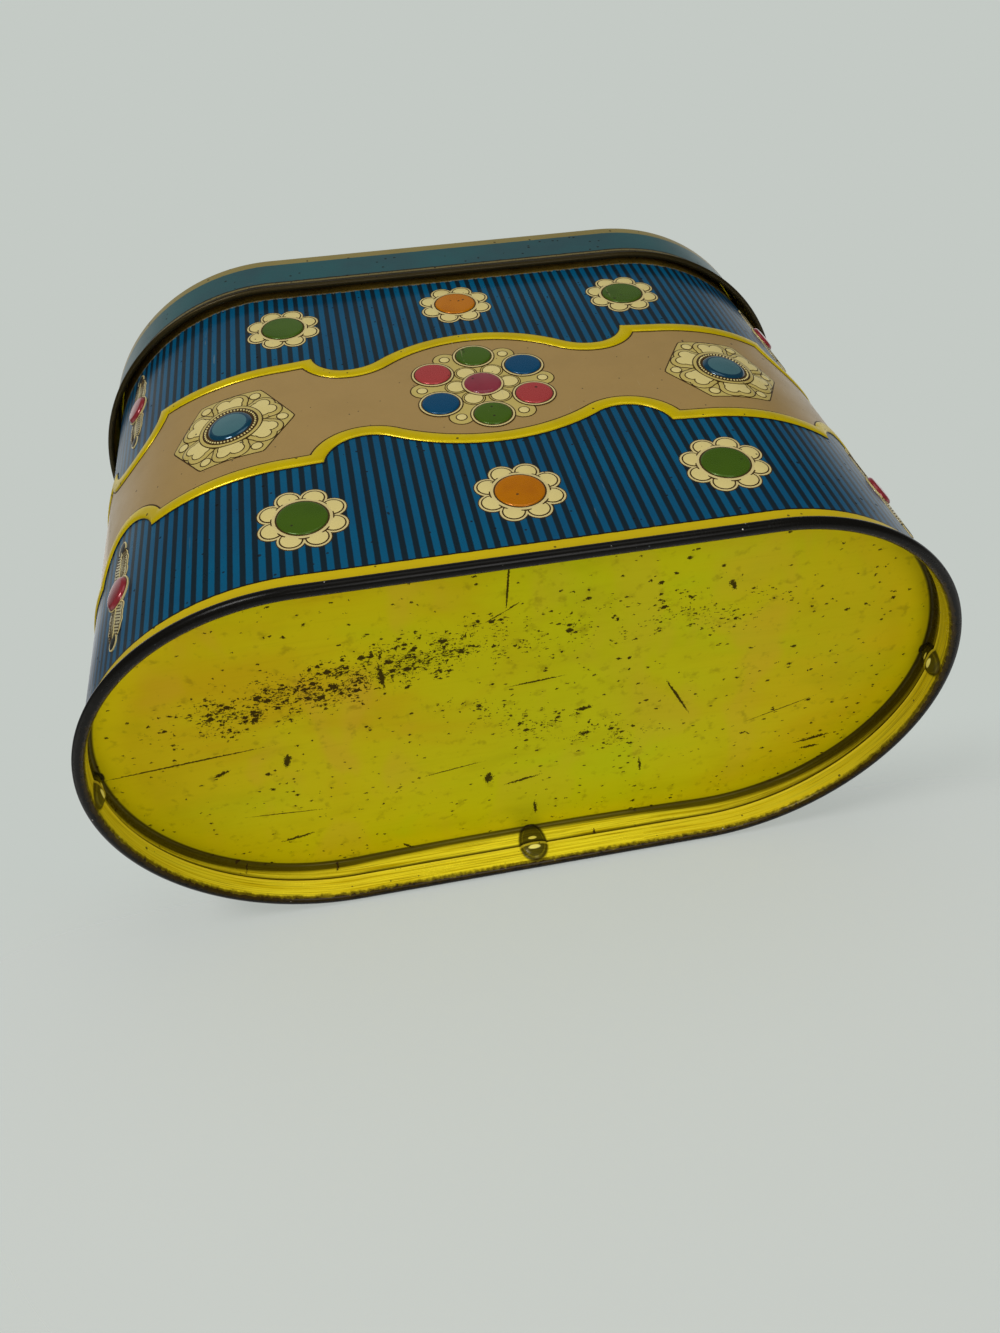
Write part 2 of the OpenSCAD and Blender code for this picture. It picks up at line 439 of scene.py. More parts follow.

# %% [markdown]
# ## The wall's bare gold
# The inside, the hem and the neck show lacquer instead of print. On the hem it is streaked and rubbed, painted
# bright as painted reflection and darker towards the round ends as painted shade. Each crimp is a dark knob
# with a painted shaded crease round it and one painted highlight, and the hem's free edge has a painted
# highlight.

# %% Gold of the wall
NECK_FROM = 119.5
HEM_FROM = -2.4
HEM_EDGE = -7.2
CRIMP_FOOT = 1.6
gold, _ = lacquer(spot, (0.05, 0.05, 1.6))
ragged = t + flaw * 1.6
neck = (ragged > NECK_FROM) * (face > 0.5)
stained = (clouds * 0.6 + grain * 0.5).ease(0.4, 0.7).blend(ink(150, 122, 48), ink(74, 58, 22))
gold = neck.blend(gold, stained)
crimp = crimp_round(s, (t - HEM_EDGE) * (1 / (HEM_H - CRIMP_FOOT)))
knob = 1 - crimp.ease(0.75, 0.95)
# painted shade: a dark ring round each crimp's edge, where its crease is
crease_shade = crimp.near(0.95, 0.13, 0.1)
on_hem = t < HEM_FROM
drawn = drawn_lines(spot, s, t)
# painted shade: the hem is painted darker towards the round ends, more on the right
right = spot.split()[0].ease(-40.0, 60.0) * 0.7 + 0.3
ends = (1 - straightness(s)) * right * drawn.ease(0.35, 0.65)
# painted reflection: the hem's streaks are painted much brighter than its lacquer, in place of reflected light
gold = (on_hem * 0.85).blend(gold, drawn.ease(0.3, 0.6).blend(ink(196, 168, 2), ink(255, 236, 50)))
gold = (on_hem * rub_lines(spot, s, t) * 0.7).blend(gold, ink(84, 64, 4))
gold = (on_hem * ends * 0.7).blend(gold, ink(92, 76, 6))
gold = (on_hem * knob * 0.92).blend(gold, ink(46, 42, 10))
# painted highlight: a bright spot at the top of the hem's part of each crimp
gold = (on_hem * painted_highlight_spot(s, t, -6.3, 1.7, 0.6)).blend(gold, ink(250, 238, 130))
gold = (on_hem * crease_shade * 0.9).blend(gold, ink(30, 25, 6))
# painted highlight along the hem's free edge
edge_highlight = 1 - t.ease(HEM_EDGE + 0.1, HEM_EDGE + 0.4)
gold = (edge_highlight * face * 0.4).blend(gold, ink(250, 226, 60))
print("hem from", HEM_FROM, "to", HEM_EDGE, "mm down the sheet")

# %% Wear and finish of the wall
bare = (neck + (ragged < -2.6) + (face < 0.5)).calc("MINIMUM", 1.0)
picture = bare.blend(picture, gold)
scuffed = ragged.near(-2.55, 0.7, 0.45) * 0.85
picture = scuffed.blend(picture, ink(58, 44, 6))
picture = (ragged.near(NECK_FROM, 0.28, 0.15) * (grain > 0.5) * 0.5).blend(picture, ink(150, 150, 132))
dots = specks(spot, 0.7, 0.3, 0.12)
lines = rubbed(spot, (1.1, 1.1, 0.05), 0.92)
chips = specks(spot, 1.0, 0.2, 0.02) * t.near(0.0, 3.2, 0.3)
picture = (lines * 0.35).blend(picture, ink(110, 122, 122))
picture = (dots * 0.8).blend(picture, ink(16, 16, 14))
picture = chips.blend(picture, ink(190, 185, 175))
on_bead = 1 - t.ease(BLACK_TO, BLACK_TO + 0.4)
relief = grain * 0.5 + clouds * 1.5 + dark * 0.15 - dots * 0.6 + drawn * on_hem * 2.0
connect(shader, Base_Color=picture, Metallic=bare * (1 - dots) * (1 - neck * 0.7 - on_hem * 0.9),
        Coat_Weight=(1 - on_bead) * 0.1, Coat_Roughness=0.1, Specular_IOR_Level=0.12,
        Roughness=grain * 0.1 + clouds * 0.14 + 0.19 - on_bead * 0.06 + dots * 0.3,
        Normal=bumpy(relief, 0.2, 0.05))
print("wall print has", len(wall_print.node_tree.nodes), "nodes")

# %% [markdown]
# ## The base pan's lacquer
# The base has been pushed about on shelves for years. Its gold lacquer is chipped to dark metal in a band of
# specks across the middle and in single gouges, and long thin scratches cross it. The gouges are drawn as
# short strokes between two points, with a ragged width.

# %% Gouges and scratches
pan_gold, shader, spot = new_material("pan_gold")
x, y, _ = spot.split()
fray = spot.noise(1.1, 3.0, 0.7) - 0.5
chip = spot.noise(3.2, 2.0, 0.6) - 0.5


def stroke(a, b, width, ragged):
    """Mask of a straight stroke in the plane of the base, from a to b."""
    dx, dy = b[0] - a[0], b[1] - a[1]
    length = math.hypot(dx, dy)
    along = (x - a[0]) * (dx / length) + (y - a[1]) * (dy / length)
    across = abs((x - a[0]) * (-dy / length) + (y - a[1]) * (dx / length) + fray * ragged)
    out = abs(along - length / 2) * (2 / length)
    return across < (1.15 - out * out + chip * 3.0 + fray * 1.2) * width


def any_of(masks):
    """The union of several masks."""
    first, *more = masks
    for mask in more:
        first = first.calc("MAXIMUM", mask)
    return first


GOUGES = [((-33, -13), (-33.6, -20.8), 0.55), ((-33.2, -21.8), (-32.4, -24.8), 0.25),
          ((-42.8, -15), (-44.3, -16.9), 0.8), ((-56.8, 3.7), (-57.8, 8.1), 0.7),
          ((-10.4, 23.3), (-10.8, 27.3), 0.9), ((-63.4, 36.6), (-55.6, 35.1), 0.4),
          ((1.3, 38.1), (1.7, 43.5), 0.4), ((12.1, 14), (15.1, 13.5), 0.5), ((11.2, 4.7), (15.1, 4.1), 0.5),
          ((-74.2, 7.4), (-70.3, 5.7), 0.5), ((45.5, -27.7), (44, -30.7), 0.6),
          ((71, 30.4), (80, 28.4), 0.45), ((73, 33.2), (78, 32.6), 0.4), ((-34.1, 47), (-31.5, 49.5), 0.4),
          ((28.5, 26.9), (29.2, 31.8), 0.35), ((34.7, -27.7), (36.2, -26.7), 0.4),
          ((-6.5, 29.2), (2.3, 27.3), 0.35), ((-14.4, -43.4), (-11.4, -45.4), 0.8)]
SCRATCHES = [((-96.8, 1.7), (-61.5, -0.2), 0.22), ((-4.5, -46.4), (-5.5, -30.7), 0.2),
             ((-5.5, -30.7), (-9.9, -28.2), 0.14), ((-5.5, -30.7), (-2.6, -32.6), 0.16),
             ((-4.5, -7.1), (7.2, -8.1), 0.24), ((32.8, -1.2), (39.6, 11.5), 0.3),
             ((-26.1, 20.4), (-12.4, 18.4), 0.16), ((56.3, 18.4), (72, 12.5), 0.14),
             ((-69.3, 24.3), (-51.7, 26.3), 0.14)]
marks = any_of([stroke(*g, 1.6) for g in GOUGES] + [stroke(*c, 0.5) for c in SCRATCHES])
print("gouges", len(GOUGES), "scratches", len(SCRATCHES))

# %% [markdown]
# ## The band of flecks
# A band of chips crosses the base, thick on the left and thinning out to the right, with a weaker one in the
# middle. Cells of five sizes give the chips, and a jitter of their coordinates makes the edges jagged.

# %% Flecks
middle = y + (x + 15.0).calc("MINIMUM", 0.0) * 0.2 + 22.5
band = 1 - abs(middle).ease(1.0, 10.0)
band = band * (1 - abs(x + 44.0).ease(24.0, 44.0) * 0.75) * (1 - abs(x + 14.0).ease(50.0, 78.0))
second = (1 - abs(y - x * 0.4 - 6.0).ease(1.0, 9.0)) * (1 - abs(x - 8.0).ease(8.0, 34.0))
clumps = spot.noise(0.16, 3.0, 0.7)
crowd = clumps.ease(0.38, 0.62) * (band + second * 0.4)
jitter = spot.noise(1.9, 3.0, 0.8).other("Color").scaled((1.5, 1.0, 0.0))
squeezed = spot.scaled((0.75, 1.0, 1.0))
jagged = spot.make("ShaderNodeVectorMath", {"operation": "ADD"}, {0: squeezed, 1: jitter})
FLECKS = ((0.7, 0.55, crowd * 0.55), (1.5, 0.6, crowd * 0.7 + 0.01), (2.8, 0.6, crowd * 0.8),
          (0.5, 0.27, clumps.ease(0.4, 0.7) * 0.12), (1.1, 0.4, clumps.ease(0.45, 0.7) * 0.12))
dots = any_of([specks(jagged, per_mm, size, share, "2D") for per_mm, size, share in FLECKS])
worn = marks.calc("MAXIMUM", dots)
print("layers of flecks", len(FLECKS))

# %% [markdown]
# ## The pan's gold
# The panel's lacquer changes slowly across the base, and is painted lighter towards the back and near its
# edge, as painted light where the skirt shades it. The skirt round it is streaked like the hem and painted
# bright as painted reflection, is painted darker in the corner under the panel and towards the round ends as
# painted shade, and carries the upper half of each crimp, with a painted shaded crease and a painted
# highlight.

# %% Gold of the pan
tone, streaks = lacquer(spot, (0.05, 1.1, 1.1))
s, t, _ = sheet_coordinates(spot)
smudge = spot.scaled((0.5, 1.0, 1.0)).noise(0.09, 4.0, 0.6)
panel = t.ease(PANEL_Z + 0.3, PANEL_Z + 1.3)
skirt = 1 - panel
# painted shadow: a dark line in the gap just above the hem's edge
groove_shade = t.near(HEM_H + 0.3, 0.35, 0.25)
crimp = crimp_round(s, (t - HEM_H) * (1 / (PANEL_Z + 0.6 - HEM_H)))
knob = 1 - crimp.ease(0.75, 0.95)
# painted shade: a dark ring round each crimp's edge, where its crease is
crease_shade = crimp.near(0.95, 0.14, 0.1)
drawn = drawn_lines(spot, s, t)
bend = 1 - straightness(s)
# painted shade: the skirt is painted dark in the corner under the panel, further on the round ends, and along
# the groove
corner = (t + bend * 1.5 + drawn * 1.6).ease(PANEL_Z - 0.4, PANEL_Z + 0.4)
corner = (corner * (1 - t.ease(PANEL_Z + 0.7, PANEL_Z + 1.3))).calc("MAXIMUM", groove_shade)
tone = ((1 - abs(x - 12.0).ease(5.0, 60.0)) * 0.5).blend(tone, ink(190, 198, 2))
tone = (abs(x + 8.0).ease(45.0, 85.0) * 0.45).blend(tone, ink(210, 172, 2))
# painted light: the panel is painted lighter towards the back and near its edge, where the skirt shades it
tone = (y.ease(0.0, 50.0) * 0.35).blend(tone, ink(224, 220, 2))
tone = ((1 - t.ease(PANEL_Z + 1.5, PANEL_Z + 10.0)) * 0.5).blend(tone, ink(238, 222, 2))
tone = (smudge.ease(0.5, 0.8) * 0.2).blend(tone, ink(160, 148, 6))
tone = (spot.noise(0.3, 3.0, 0.6).ease(0.56, 0.74) * 0.35).blend(tone, ink(122, 98, 4))
# painted shade: the skirt is painted darker towards the round ends, more on the right, in the shaded colour
right = x.ease(-40.0, 60.0) * 0.4 + 0.6
shaded = drawn.ease(0.4, 0.7).blend(ink(52, 42, 4), ink(132, 112, 6))
# painted reflection: the skirt's streaks are painted much brighter than its lacquer, in place of reflected
# light
tone = (skirt * 0.85).blend(tone, drawn.ease(0.3, 0.6).blend(ink(190, 162, 2), ink(255, 236, 50)))
tone = (skirt * rub_lines(spot, s, t) * 0.7).blend(tone, ink(84, 64, 4))
tone = (skirt * bend * right * 0.85).blend(tone, shaded)
tone = (corner * 0.9).blend(tone, ink(44, 35, 3))
tone = (knob * 0.92).blend(tone, ink(44, 38, 6))
# painted highlight: a thin bright spot low on the skirt's part of each crimp
tone = painted_highlight_spot(s, t, HEM_H + 1.1, 1.2, 0.3).blend(tone, ink(232, 216, 90))
tone = (crease_shade * 0.9).blend(tone, ink(30, 25, 6))
tone = (worn * 0.94).blend(tone, ink(48, 32, 8))
relief = smudge * 1.2 + streaks * 0.5 - worn * 1.5 + drawn * skirt * 1.5
connect(shader, Base_Color=tone, Metallic=panel * 0.32 + 0.1 - worn * 0.1, Specular_IOR_Level=0.06,
        Roughness=smudge * 0.16 + streaks * 0.14 + 0.12 + panel * 0.26 + worn * 0.3,
        Normal=bumpy(relief, 0.22, 0.08))
print("pan gold has", len(pan_gold.node_tree.nodes), "nodes")

# %% [markdown]
# ## The lid's print
# The lid's skirt is plain teal with a pale gold line round its top edge, and the rim is curled so that the
# brass-coloured lacquer of the inside shows. The top can't be seen in the photograph; it carries the same
# stripes and tan field as the wall.

# %% Lid print
LID_EDGE_R = 1.5
TEAL_TO = 135.5
BRASS_LINE = 124.2
lid_print, shader, spot = new_material("lid_print")
s, t, face = sheet_coordinates(spot)
flaw = spot.noise(0.9, 3.0, 0.6) - 0.5
grain = spot.noise(2.6, 2.0)
clouds = spot.noise(0.05, 3.0, 0.6)
teal = clouds.ease(0.3, 0.7).blend(ink(26, 75, 78), ink(34, 67, 72))
teal = (grain.ease(0.5, 0.9) * 0.4).blend(teal, ink(20, 52, 56))
edge = t + flaw * 0.3
turned_in = LID_EDGE - LID_EDGE_R + math.pi / 2 * (LID_EDGE_R - SHEET / 2)
pale_gold = clouds.blend(ink(134, 120, 66), ink(112, 99, 48))
picture = edge.ease(TEAL_TO, TEAL_TO + 0.25).blend(teal, pale_gold)
margin = stripe_mask(s, flaw).blend(ink(8, 74, 112), ink(27, 36, 46))
picture = edge.ease(turned_in + 1.0, turned_in + 1.2).blend(picture, margin)
picture = edge.ease(turned_in + 5.3, turned_in + 5.5).blend(picture, ink(184, 158, 8))
tan = (grain * 0.5 + clouds * 0.4).blend(ink(166, 138, 98), ink(148, 122, 84))
picture = edge.ease(turned_in + 9.2, turned_in + 9.4).blend(picture, tan)
gold, _ = lacquer(spot, (0.05, 0.05, 1.6))
brass = (grain * 0.6 + clouds * 0.5).ease(0.35, 0.75).blend(ink(66, 56, 26), ink(32, 26, 13))
# painted highlight: a bright speckled line along the top of the rim's brass band
line = edge.near(BRASS_LINE, 0.45, 0.2) * (grain > 0.38)
brass = line.blend(brass, ink(132, 118, 70))
brass = edge.ease(BRASS_LINE + 0.4, BRASS_LINE + 0.6).blend(brass, ink(38, 34, 18))
curled = 1 - edge.ease(RIM_Z + 0.4, RIM_Z + 1.2)
brass = curled.blend(brass, grain.blend(ink(58, 48, 20), ink(40, 34, 14)))
outside = face > 0.5
rolled = outside * (t + flaw * 0.8 < BRASS_LINE + 1.0) + (1 - outside) * (t < RIM_Z + 0.4)
bare = (rolled + (1 - outside)).calc("MINIMUM", 1.0)
picture = bare.blend(picture, rolled.blend(gold, brass))
dots = specks(spot, 0.8, 0.3, 0.1)
lines = rubbed(spot, (0.08, 0.08, 1.3), 0.92)
picture = (lines * 0.35).blend(picture, ink(110, 116, 106))
picture = (dots * 0.85).blend(picture, ink(26, 20, 14))
bare = bare * (1 - rolled * 0.45)
connect(shader, Base_Color=picture, Metallic=bare * (1 - dots), Coat_Roughness=0.12,
        Coat_Weight=(1 - bare) * 0.12, Specular_IOR_Level=0.16,
        Roughness=grain * 0.1 + clouds * 0.16 + 0.2 + rolled * 0.12 + dots * 0.3,
        Normal=bumpy(grain * 0.5 + clouds * 1.5 - dots * 0.6, 0.2, 0.05))
print("lid print ready")

# %% [markdown]
# ## Three bent sheets
# Each big piece is one sheet whose section runs round the whole oval. The section is drawn as a centre line,
# given the sheet's thickness on both sides, and swept: a straight path of stations along s carries it, and
# the rolling tree bends the result. Where the hem is staked, four crimps push the inner leaf and the pan's
# skirt inwards by the same amount.


# %% Sections with thickness
def arc(cx, cz, radius, start, stop, count):
    """Points on an arc, angles in degrees."""
    steps = [start + (stop - start) * i / count for i in range(count + 1)]
    return [(cx + radius * math.cos(math.radians(a)), cz + radius * math.sin(math.radians(a))) for a in steps]


def spread(a, b, count):
    """Points on a straight piece, without its first point."""
    return [(a[0] + (b[0] - a[0]) * i / count, a[1] + (b[1] - a[1]) * i / count) for i in range(1, count + 1)]


def thick(line, outer_right, zero_at):
    """Both skins of a bent sheet as (h, z, t, face) points, down one side and back up the other.
    t is the length along the sheet, shifted so that t equals z at the line's point number zero_at."""
    lengths = [0.0]
    for a, b in zip(line, line[1:]):
        lengths.append(lengths[-1] + math.dist(a, b))
    rising = line[zero_at + 1][1] > line[zero_at][1]
    run = [line[zero_at][1] + (d - lengths[zero_at]) * (1 if rising else -1) for d in lengths]
    right, left = [], []
    for i, (px, pz) in enumerate(line):
        a, b = line[max(i - 1, 0)], line[min(i + 1, len(line) - 1)]
        size = math.dist(a, b)
        nx, nz = (b[1] - a[1]) / size * SHEET / 2, (a[0] - b[0]) / size * SHEET / 2
        right.append((px + nx, pz + nz, run[i], 1.0 if outer_right else 0.0))
        left.append((px - nx, pz - nz, run[i], 0.0 if outer_right else 1.0))
    return right + left[::-1]


SEAM_X = 29.5
CLOSE, WIDE = 0.3, 1.15


def stations():
    """Distances along the outline for a quarter of it, close together at the crimps."""
    fixed = [SEAM_X, HALF_RUN, QUARTER]
    points = [0.0]
    while points[-1] < QUARTER - 0.2:
        here = points[-1]
        points.append(here + (CLOSE if min(here, QUARTER - here) < CRIMP_HALF + 1.0 else WIDE))
    return sorted([p for p in points if min(abs(p - v) for v in fixed) > 0.12] + fixed)


quarter = stations()
half = quarter + [2 * QUARTER - p for p in quarter[-2::-1]]
loop = [-p for p in half[:0:-1]] + half
SEAM_S = 2 * QUARTER - SEAM_X
split_loop = [p for p in loop if p <= SEAM_S + 0.01]
split_loop = [p - ROUND for p in loop if SEAM_S - 0.01 <= p < loop[-1] - 0.01] + split_loop
print("stations", len(loop))

# %% The sweeping tree
CRIMP_DEPTH = 1.2
BOW_REACH = 98.5
sweeping, start = new_tree("sweep_the_sheet", {
    "Path": "Object", "Crimp depth": "Float", "Material": "Material"})


def stored(start, label):
    return start.make("GeometryNodeInputNamedAttribute", {"data_type": "FLOAT"}, {"Name": label})


profile = start.make("GeometryNodeMeshToCurve", None, {"Mesh": start})
path = start.make("GeometryNodeObjectInfo", None, {"Object": start.other("Path")}, out="Geometry")
path = start.make("GeometryNodeMeshToCurve", None, {"Mesh": path})
swept = start.make("GeometryNodeCurveToMesh", None, {"Curve": path, "Profile Curve": profile})
s = stored(start, "s")
bulge = 1 - (crimp_distance(s) / CRIMP_HALF).calc("POWER", 2.0) - stored(start, "far").calc("POWER", 2.0)
bulge = bulge.calc("MAXIMUM", 0.0).calc("SQRT")
depth = stored(start, "h") - bulge * start.other("Crimp depth")
depth = depth - stored(start, "lean") * straightness(s)
printing = s.join(s, stored(start, "t"), stored(start, "face"))
swept = start.make("GeometryNodeStoreNamedAttribute", {"data_type": "FLOAT_VECTOR", "domain": "CORNER"},
                   {"Geometry": swept, "Name": "sheet", "Value": printing})
swept = place(swept, s.join(s, stored(start, "z"), depth))
swept = start.make("GeometryNodeGroup", {"node_tree": rolling}, {0: swept})
x, y, z = start.make("GeometryNodeInputPosition").split()
share = x * (1 / (BOW_REACH * MM))
swept = place(swept, s.join(x, y, z + stored(start, "bow") * (1 - share * share) * MM))
end_dressed(start, swept)
print("sweeping tree has", len(sweeping.nodes), "nodes")


def sweep(name, section, path_stations, material, closed=False, far=None, lean=None, bow=None):
    """Sweeps a section of (h, z, t, face) points round the tin. far, lean and bow are rules for a point (h, z)
    of it: its distance from a crimp's middle, where 1 is the crimp's edge, and how many millimetres it leans
    in along the long sides and bows up in the middle."""
    count = len(section)
    shaping = {label: [how(p[0], p[1]) if how else rest for p in section]
               for label, how, rest in (("far", far, 9.0), ("lean", lean, 0.0), ("bow", bow, 0.0))}
    rim = new_object(name, [(p[0], p[1], 0.0) for p in section],
                     [(i, i + 1) for i in range(count - 1)] + ([(count - 1, 0)] if closed else []),
                     h=[p[0] for p in section], z=[p[1] for p in section], t=[p[2] for p in section],
                     face=[p[3] for p in section], **shaping)
    track = new_object("track", [(p, 0.0, 0.0) for p in path_stations],
                       [(i, i + 1) for i in range(len(path_stations) - 1)], s=path_stations)
    run_tree(rim, sweeping, **{"Path": track, "Crimp depth": CRIMP_DEPTH, "Material": material})
    drop(track)
    print(name, len(rim.data.polygons), "faces")
    return rim


# %% [markdown]
# ## The wall
# From the free edge of the hem down its leg, round the black bead, up the wall and over the curl at the top.
# The curl turns outwards, so what shows of it is the lacquer of the inside.

# %% Wall sheet
BEAD_Z = 1.275
hem = [(-0.975, HEM_H)] + spread((-0.975, HEM_H), (-0.975, BEAD_Z), 8)
bead = arc(0.175, BEAD_Z, 1.15, 180, 435, 22)[1:]
root = [(0.16, 2.44), (-0.06, 2.62), (-0.15, 2.86), (-0.175, 3.15)]
upright = spread((-0.175, 3.15), (-0.175, BODY_H - 0.75), 16)
top_curl = arc(0.4, BODY_H - 0.75, 0.575, 180, -112, 16)[1:]
line = hem + bead + root + upright + top_curl
section = thick(line, True, len(hem + bead + root) - 1)


UNCRIMPED = 9.0


def hem_far(h, z):
    return (HEM_H - z) / (HEM_H - CRIMP_FOOT) if h < -0.7 and z < 9 else UNCRIMPED


def hem_lean(h, z):
    return max(0.0, 0.6 * (z - BEAD_Z) / (HEM_H - BEAD_Z)) if h < -0.7 and z < 9 else 0.0


wall = sweep("wall_sheet", section, split_loop, wall_print, closed=True, far=hem_far, lean=hem_lean)

# %% [markdown]
# ## The base pan
# A panel with a rounded edge and a short skirt that stands in the hem. Its section starts on the tin's
# middle line, so that the sweep closes the panel by itself. Pressing has bowed the panel upwards a little
# along its middle and left the skirt leaning inwards on the long sides.

# %% Base pan
BOW = 1.7
PAN_EDGE_R = 0.825
PAN_FOOT = 3.2
inward = [-END_R, -48.0, -40.0, -30.0, -20.0, -12.0, -8.0, -5.5, -2.6]
line = [(h, PANEL_Z + SHEET / 2) for h in inward]
line += arc(-1.4, PANEL_Z + SHEET / 2 - PAN_EDGE_R, PAN_EDGE_R, 90, 0, 8)
line += spread(line[-1], (-0.575, PAN_FOOT), 12)
section = thick(line, True, len(line) - 3)


def share_of(z, low, high):
    return max(0.0, min(1.0, (z - low) / (high - low)))


def pan_far(h, z):
    if h < -1.6:
        return UNCRIMPED
    return (HEM_H - z) / (HEM_H - CRIMP_FOOT) if z < HEM_H else (z - HEM_H) / (PANEL_Z + 0.3 - HEM_H)


def pan_lean(h, z):
    if h < -5.0:
        return 0.5 if h > -6.0 else 0.0
    return 1.5 * share_of(z, PAN_FOOT, PANEL_Z)


pan = sweep("base_pan_sheet", section, loop, pan_gold, far=pan_far, lean=pan_lean,
            bow=lambda h, z: BOW * share_of(z, HEM_H + 0.2, PANEL_Z))

# %% [markdown]
# ## The lid
# A raised panel, a soft slope, a flat margin, the rounded edge, the skirt and the rim, curled outwards.

# %% Lid sheet
inward = [-END_R, -48.0, -40.0, -30.0, -20.0, -14.0, -10.0]
line = [(h, LID_TOP - SHEET / 2) for h in inward]
for i in range(13):
    rise = i / 12
    line.append((-8.3 + 3.2 * rise, LID_TOP - SHEET / 2 - PANEL_RISE * rise * rise * (3 - 2 * rise)))
line += spread(line[-1], (0.4, LID_EDGE - SHEET / 2), 4)
line += arc(0.4, LID_EDGE - LID_EDGE_R, LID_EDGE_R - SHEET / 2, 90, 0, 8)[1:]
skirt_top = len(line) - 1
line += spread(line[-1], (1.725, RIM_Z), 8)
line += arc(2.35, RIM_Z, 0.625, 180, 472, 16)[1:]
section = thick(line, False, skirt_top)
lid = sweep("lid_sheet", section, loop, lid_print)

# %% [markdown]
# ## Ornaments drawn flat
# Every ornament is a small closed tile with an outline and a few rings inside it, each at its own height:
# thin plates for printed shapes, pillows for petals, bosses with a rounded shoulder for the discs and domes
# for the beads. The tiles overlap like layers of ink, a few hundredths of a millimetre apart.

# %% Tiles
ROOT = -0.12


def circle(radius, count=48, stretch=1.0):
    return [(radius * math.cos(2 * math.pi * i / count), radius * stretch * math.sin(2 * math.pi * i / count))
            for i in range(count)]


def blob(circles, grow=0.0, count=120):
    """Outline of overlapping circles (x, y, r), as seen from the origin."""
    points = []
    for i in range(count):
        a = 2 * math.pi * i / count
        ca, sa = math.cos(a), math.sin(a)
        far = 0.0
        for cx, cy, r in circles:
            along = cx * ca + cy * sa
            gap = (r + grow) ** 2 - (cx * cx + cy * cy - along * along)
            if gap > 0:
                far = max(far, along + math.sqrt(gap))
        points.append((far * ca, far * sa))
    return points


def tile(outline, levels, at=(0.0, 0.0)):
    """A closed tile: the outline shrunk to each level's share, at that level's height."""
    count = len(outline)
    verts = [(at[0] + px * share, at[1] + py * share, height)
             for share, height in levels for px, py in outline]
    faces = []
    for k in range(len(levels) - 1):
        for i in range(count):
            j = (i + 1) % count
            faces.append((k * count + i, k * count + j, (k + 1) * count + j, (k + 1) * count + i))
    last = (len(levels) - 1) * count
    verts += [(at[0], at[1], levels[-1][1]), (at[0], at[1], levels[0][1])]
    for i in range(count):
        j = (i + 1) % count
        faces.append((last + i, last + j, len(verts) - 2))
        faces.append((j, i, len(verts) - 1))
    return verts, faces


def plate(outline, top, at=(0.0, 0.0)):
    """A thin flat tile, for a printed shape."""
    levels = [(1, ROOT), (1, top - 0.015), (0.992, top), (0.75, top), (0.5, top), (0.25, top)]
    return tile(outline, levels, at)


def pillow(outline, top, crown):
    """A softly crowned tile."""
    shares = (0.95, 0.85, 0.7, 0.5, 0.25)
    return tile(outline, [(1, ROOT), (1, top)] + [(f, top + crown * (1 - f * f)) for f in shares])


def boss(outline, rise, shoulder=0.09, crown=0.04):
    """A flat-topped disc with a rounded shoulder."""
    levels = [(1, ROOT), (1, 0.12)]
    for i in range(1, 8):
        a = math.pi / 2 * i / 7
        levels.append((1 - shoulder * (1 - math.cos(a)), 0.12 + (rise - 0.12) * math.sin(a)))
    top = 1 - shoulder
    levels += [(top * f, rise + crown * (1 - f * f)) for f in (0.85, 0.65, 0.4, 0.2)]
    return tile(outline, levels)


def dome(outline, rise):
    """A round bead."""
    levels = [(1, ROOT), (1, 0.1)]
    for i in range(1, 12):
        a = math.pi / 2 * i / 12
        levels.append((math.cos(a) ** 0.75, 0.1 + (rise - 0.1) * math.sin(a)))
    return tile(outline, levels + [(0.06, rise)])


def together(*tiles):
    """Several tiles as one."""
    verts, faces = [], []
    for some_verts, some_faces in tiles:
        faces += [tuple(i + len(verts) for i in face) for face in some_faces]
        verts += some_verts
    return verts, faces


print("tiles ready")

# %% [markdown]
# ## The press
# One node tree stamps a tile: a ring of copies about each centre, at every centre of a list, rolled onto the
# wall and repeated on the back, or laid flat on the lid.

# %% The pressing tree
pressing, start = new_tree("press_the_ornaments", {
    "Stamp": "Object", "Copies": "Int", "Ring radius": "Float", "First angle": "Float",
    "Stretch": "Float", "On the lid": "Bool", "Material": "Material"})
stamp = start.make("GeometryNodeObjectInfo", None, {"Object": start.other("Stamp")}, out="Geometry")
copies, radius = start.other("Copies"), start.other("Ring radius")
angle = start.make("GeometryNodeInputIndex") * (2 * math.pi) / copies + start.other("First angle")
ring = start.make("GeometryNodePoints", None, {
    "Count": copies, "Position": angle.join(angle.calc("COSINE") * radius, angle.calc("SINE") * radius, 0.0)})
ring = start.make("GeometryNodeStoreNamedAttribute", {"data_type": "FLOAT", "domain": "POINT"},
                  {"Geometry": ring, "Name": "angle", "Value": angle})
ring = start.make("GeometryNodeInstanceOnPoints", None, {
    "Points": ring, "Instance": stamp, "Rotation": angle.join(0.0, 0.0, stored(start, "angle"))})
ring = start.make("GeometryNodeRealizeInstances", None, {"Geometry": ring})
ring = start.make("GeometryNodeTransform", None, {
    "Geometry": ring, "Scale": radius.join(1.0, start.other("Stretch"), 1.0)})
flat = start.make("GeometryNodeInstanceOnPoints", None, {"Points": start, "Instance": ring})
flat = start.make("GeometryNodeRealizeInstances", None, {"Geometry": flat})
front = start.make("GeometryNodeGroup", {"node_tree": rolling}, {0: flat})
back = start.make("GeometryNodeTransform", None, {"Geometry": front, "Rotation": (0.0, 0.0, math.pi)})
both = start.make("GeometryNodeJoinGeometry", None, {0: [front, back]})
laid = start.make("GeometryNodeTransform", None, {
    "Geometry": flat, "Translation": (0.0, 0.0, LID_TOP * MM), "Scale": (MM, MM, MM)})
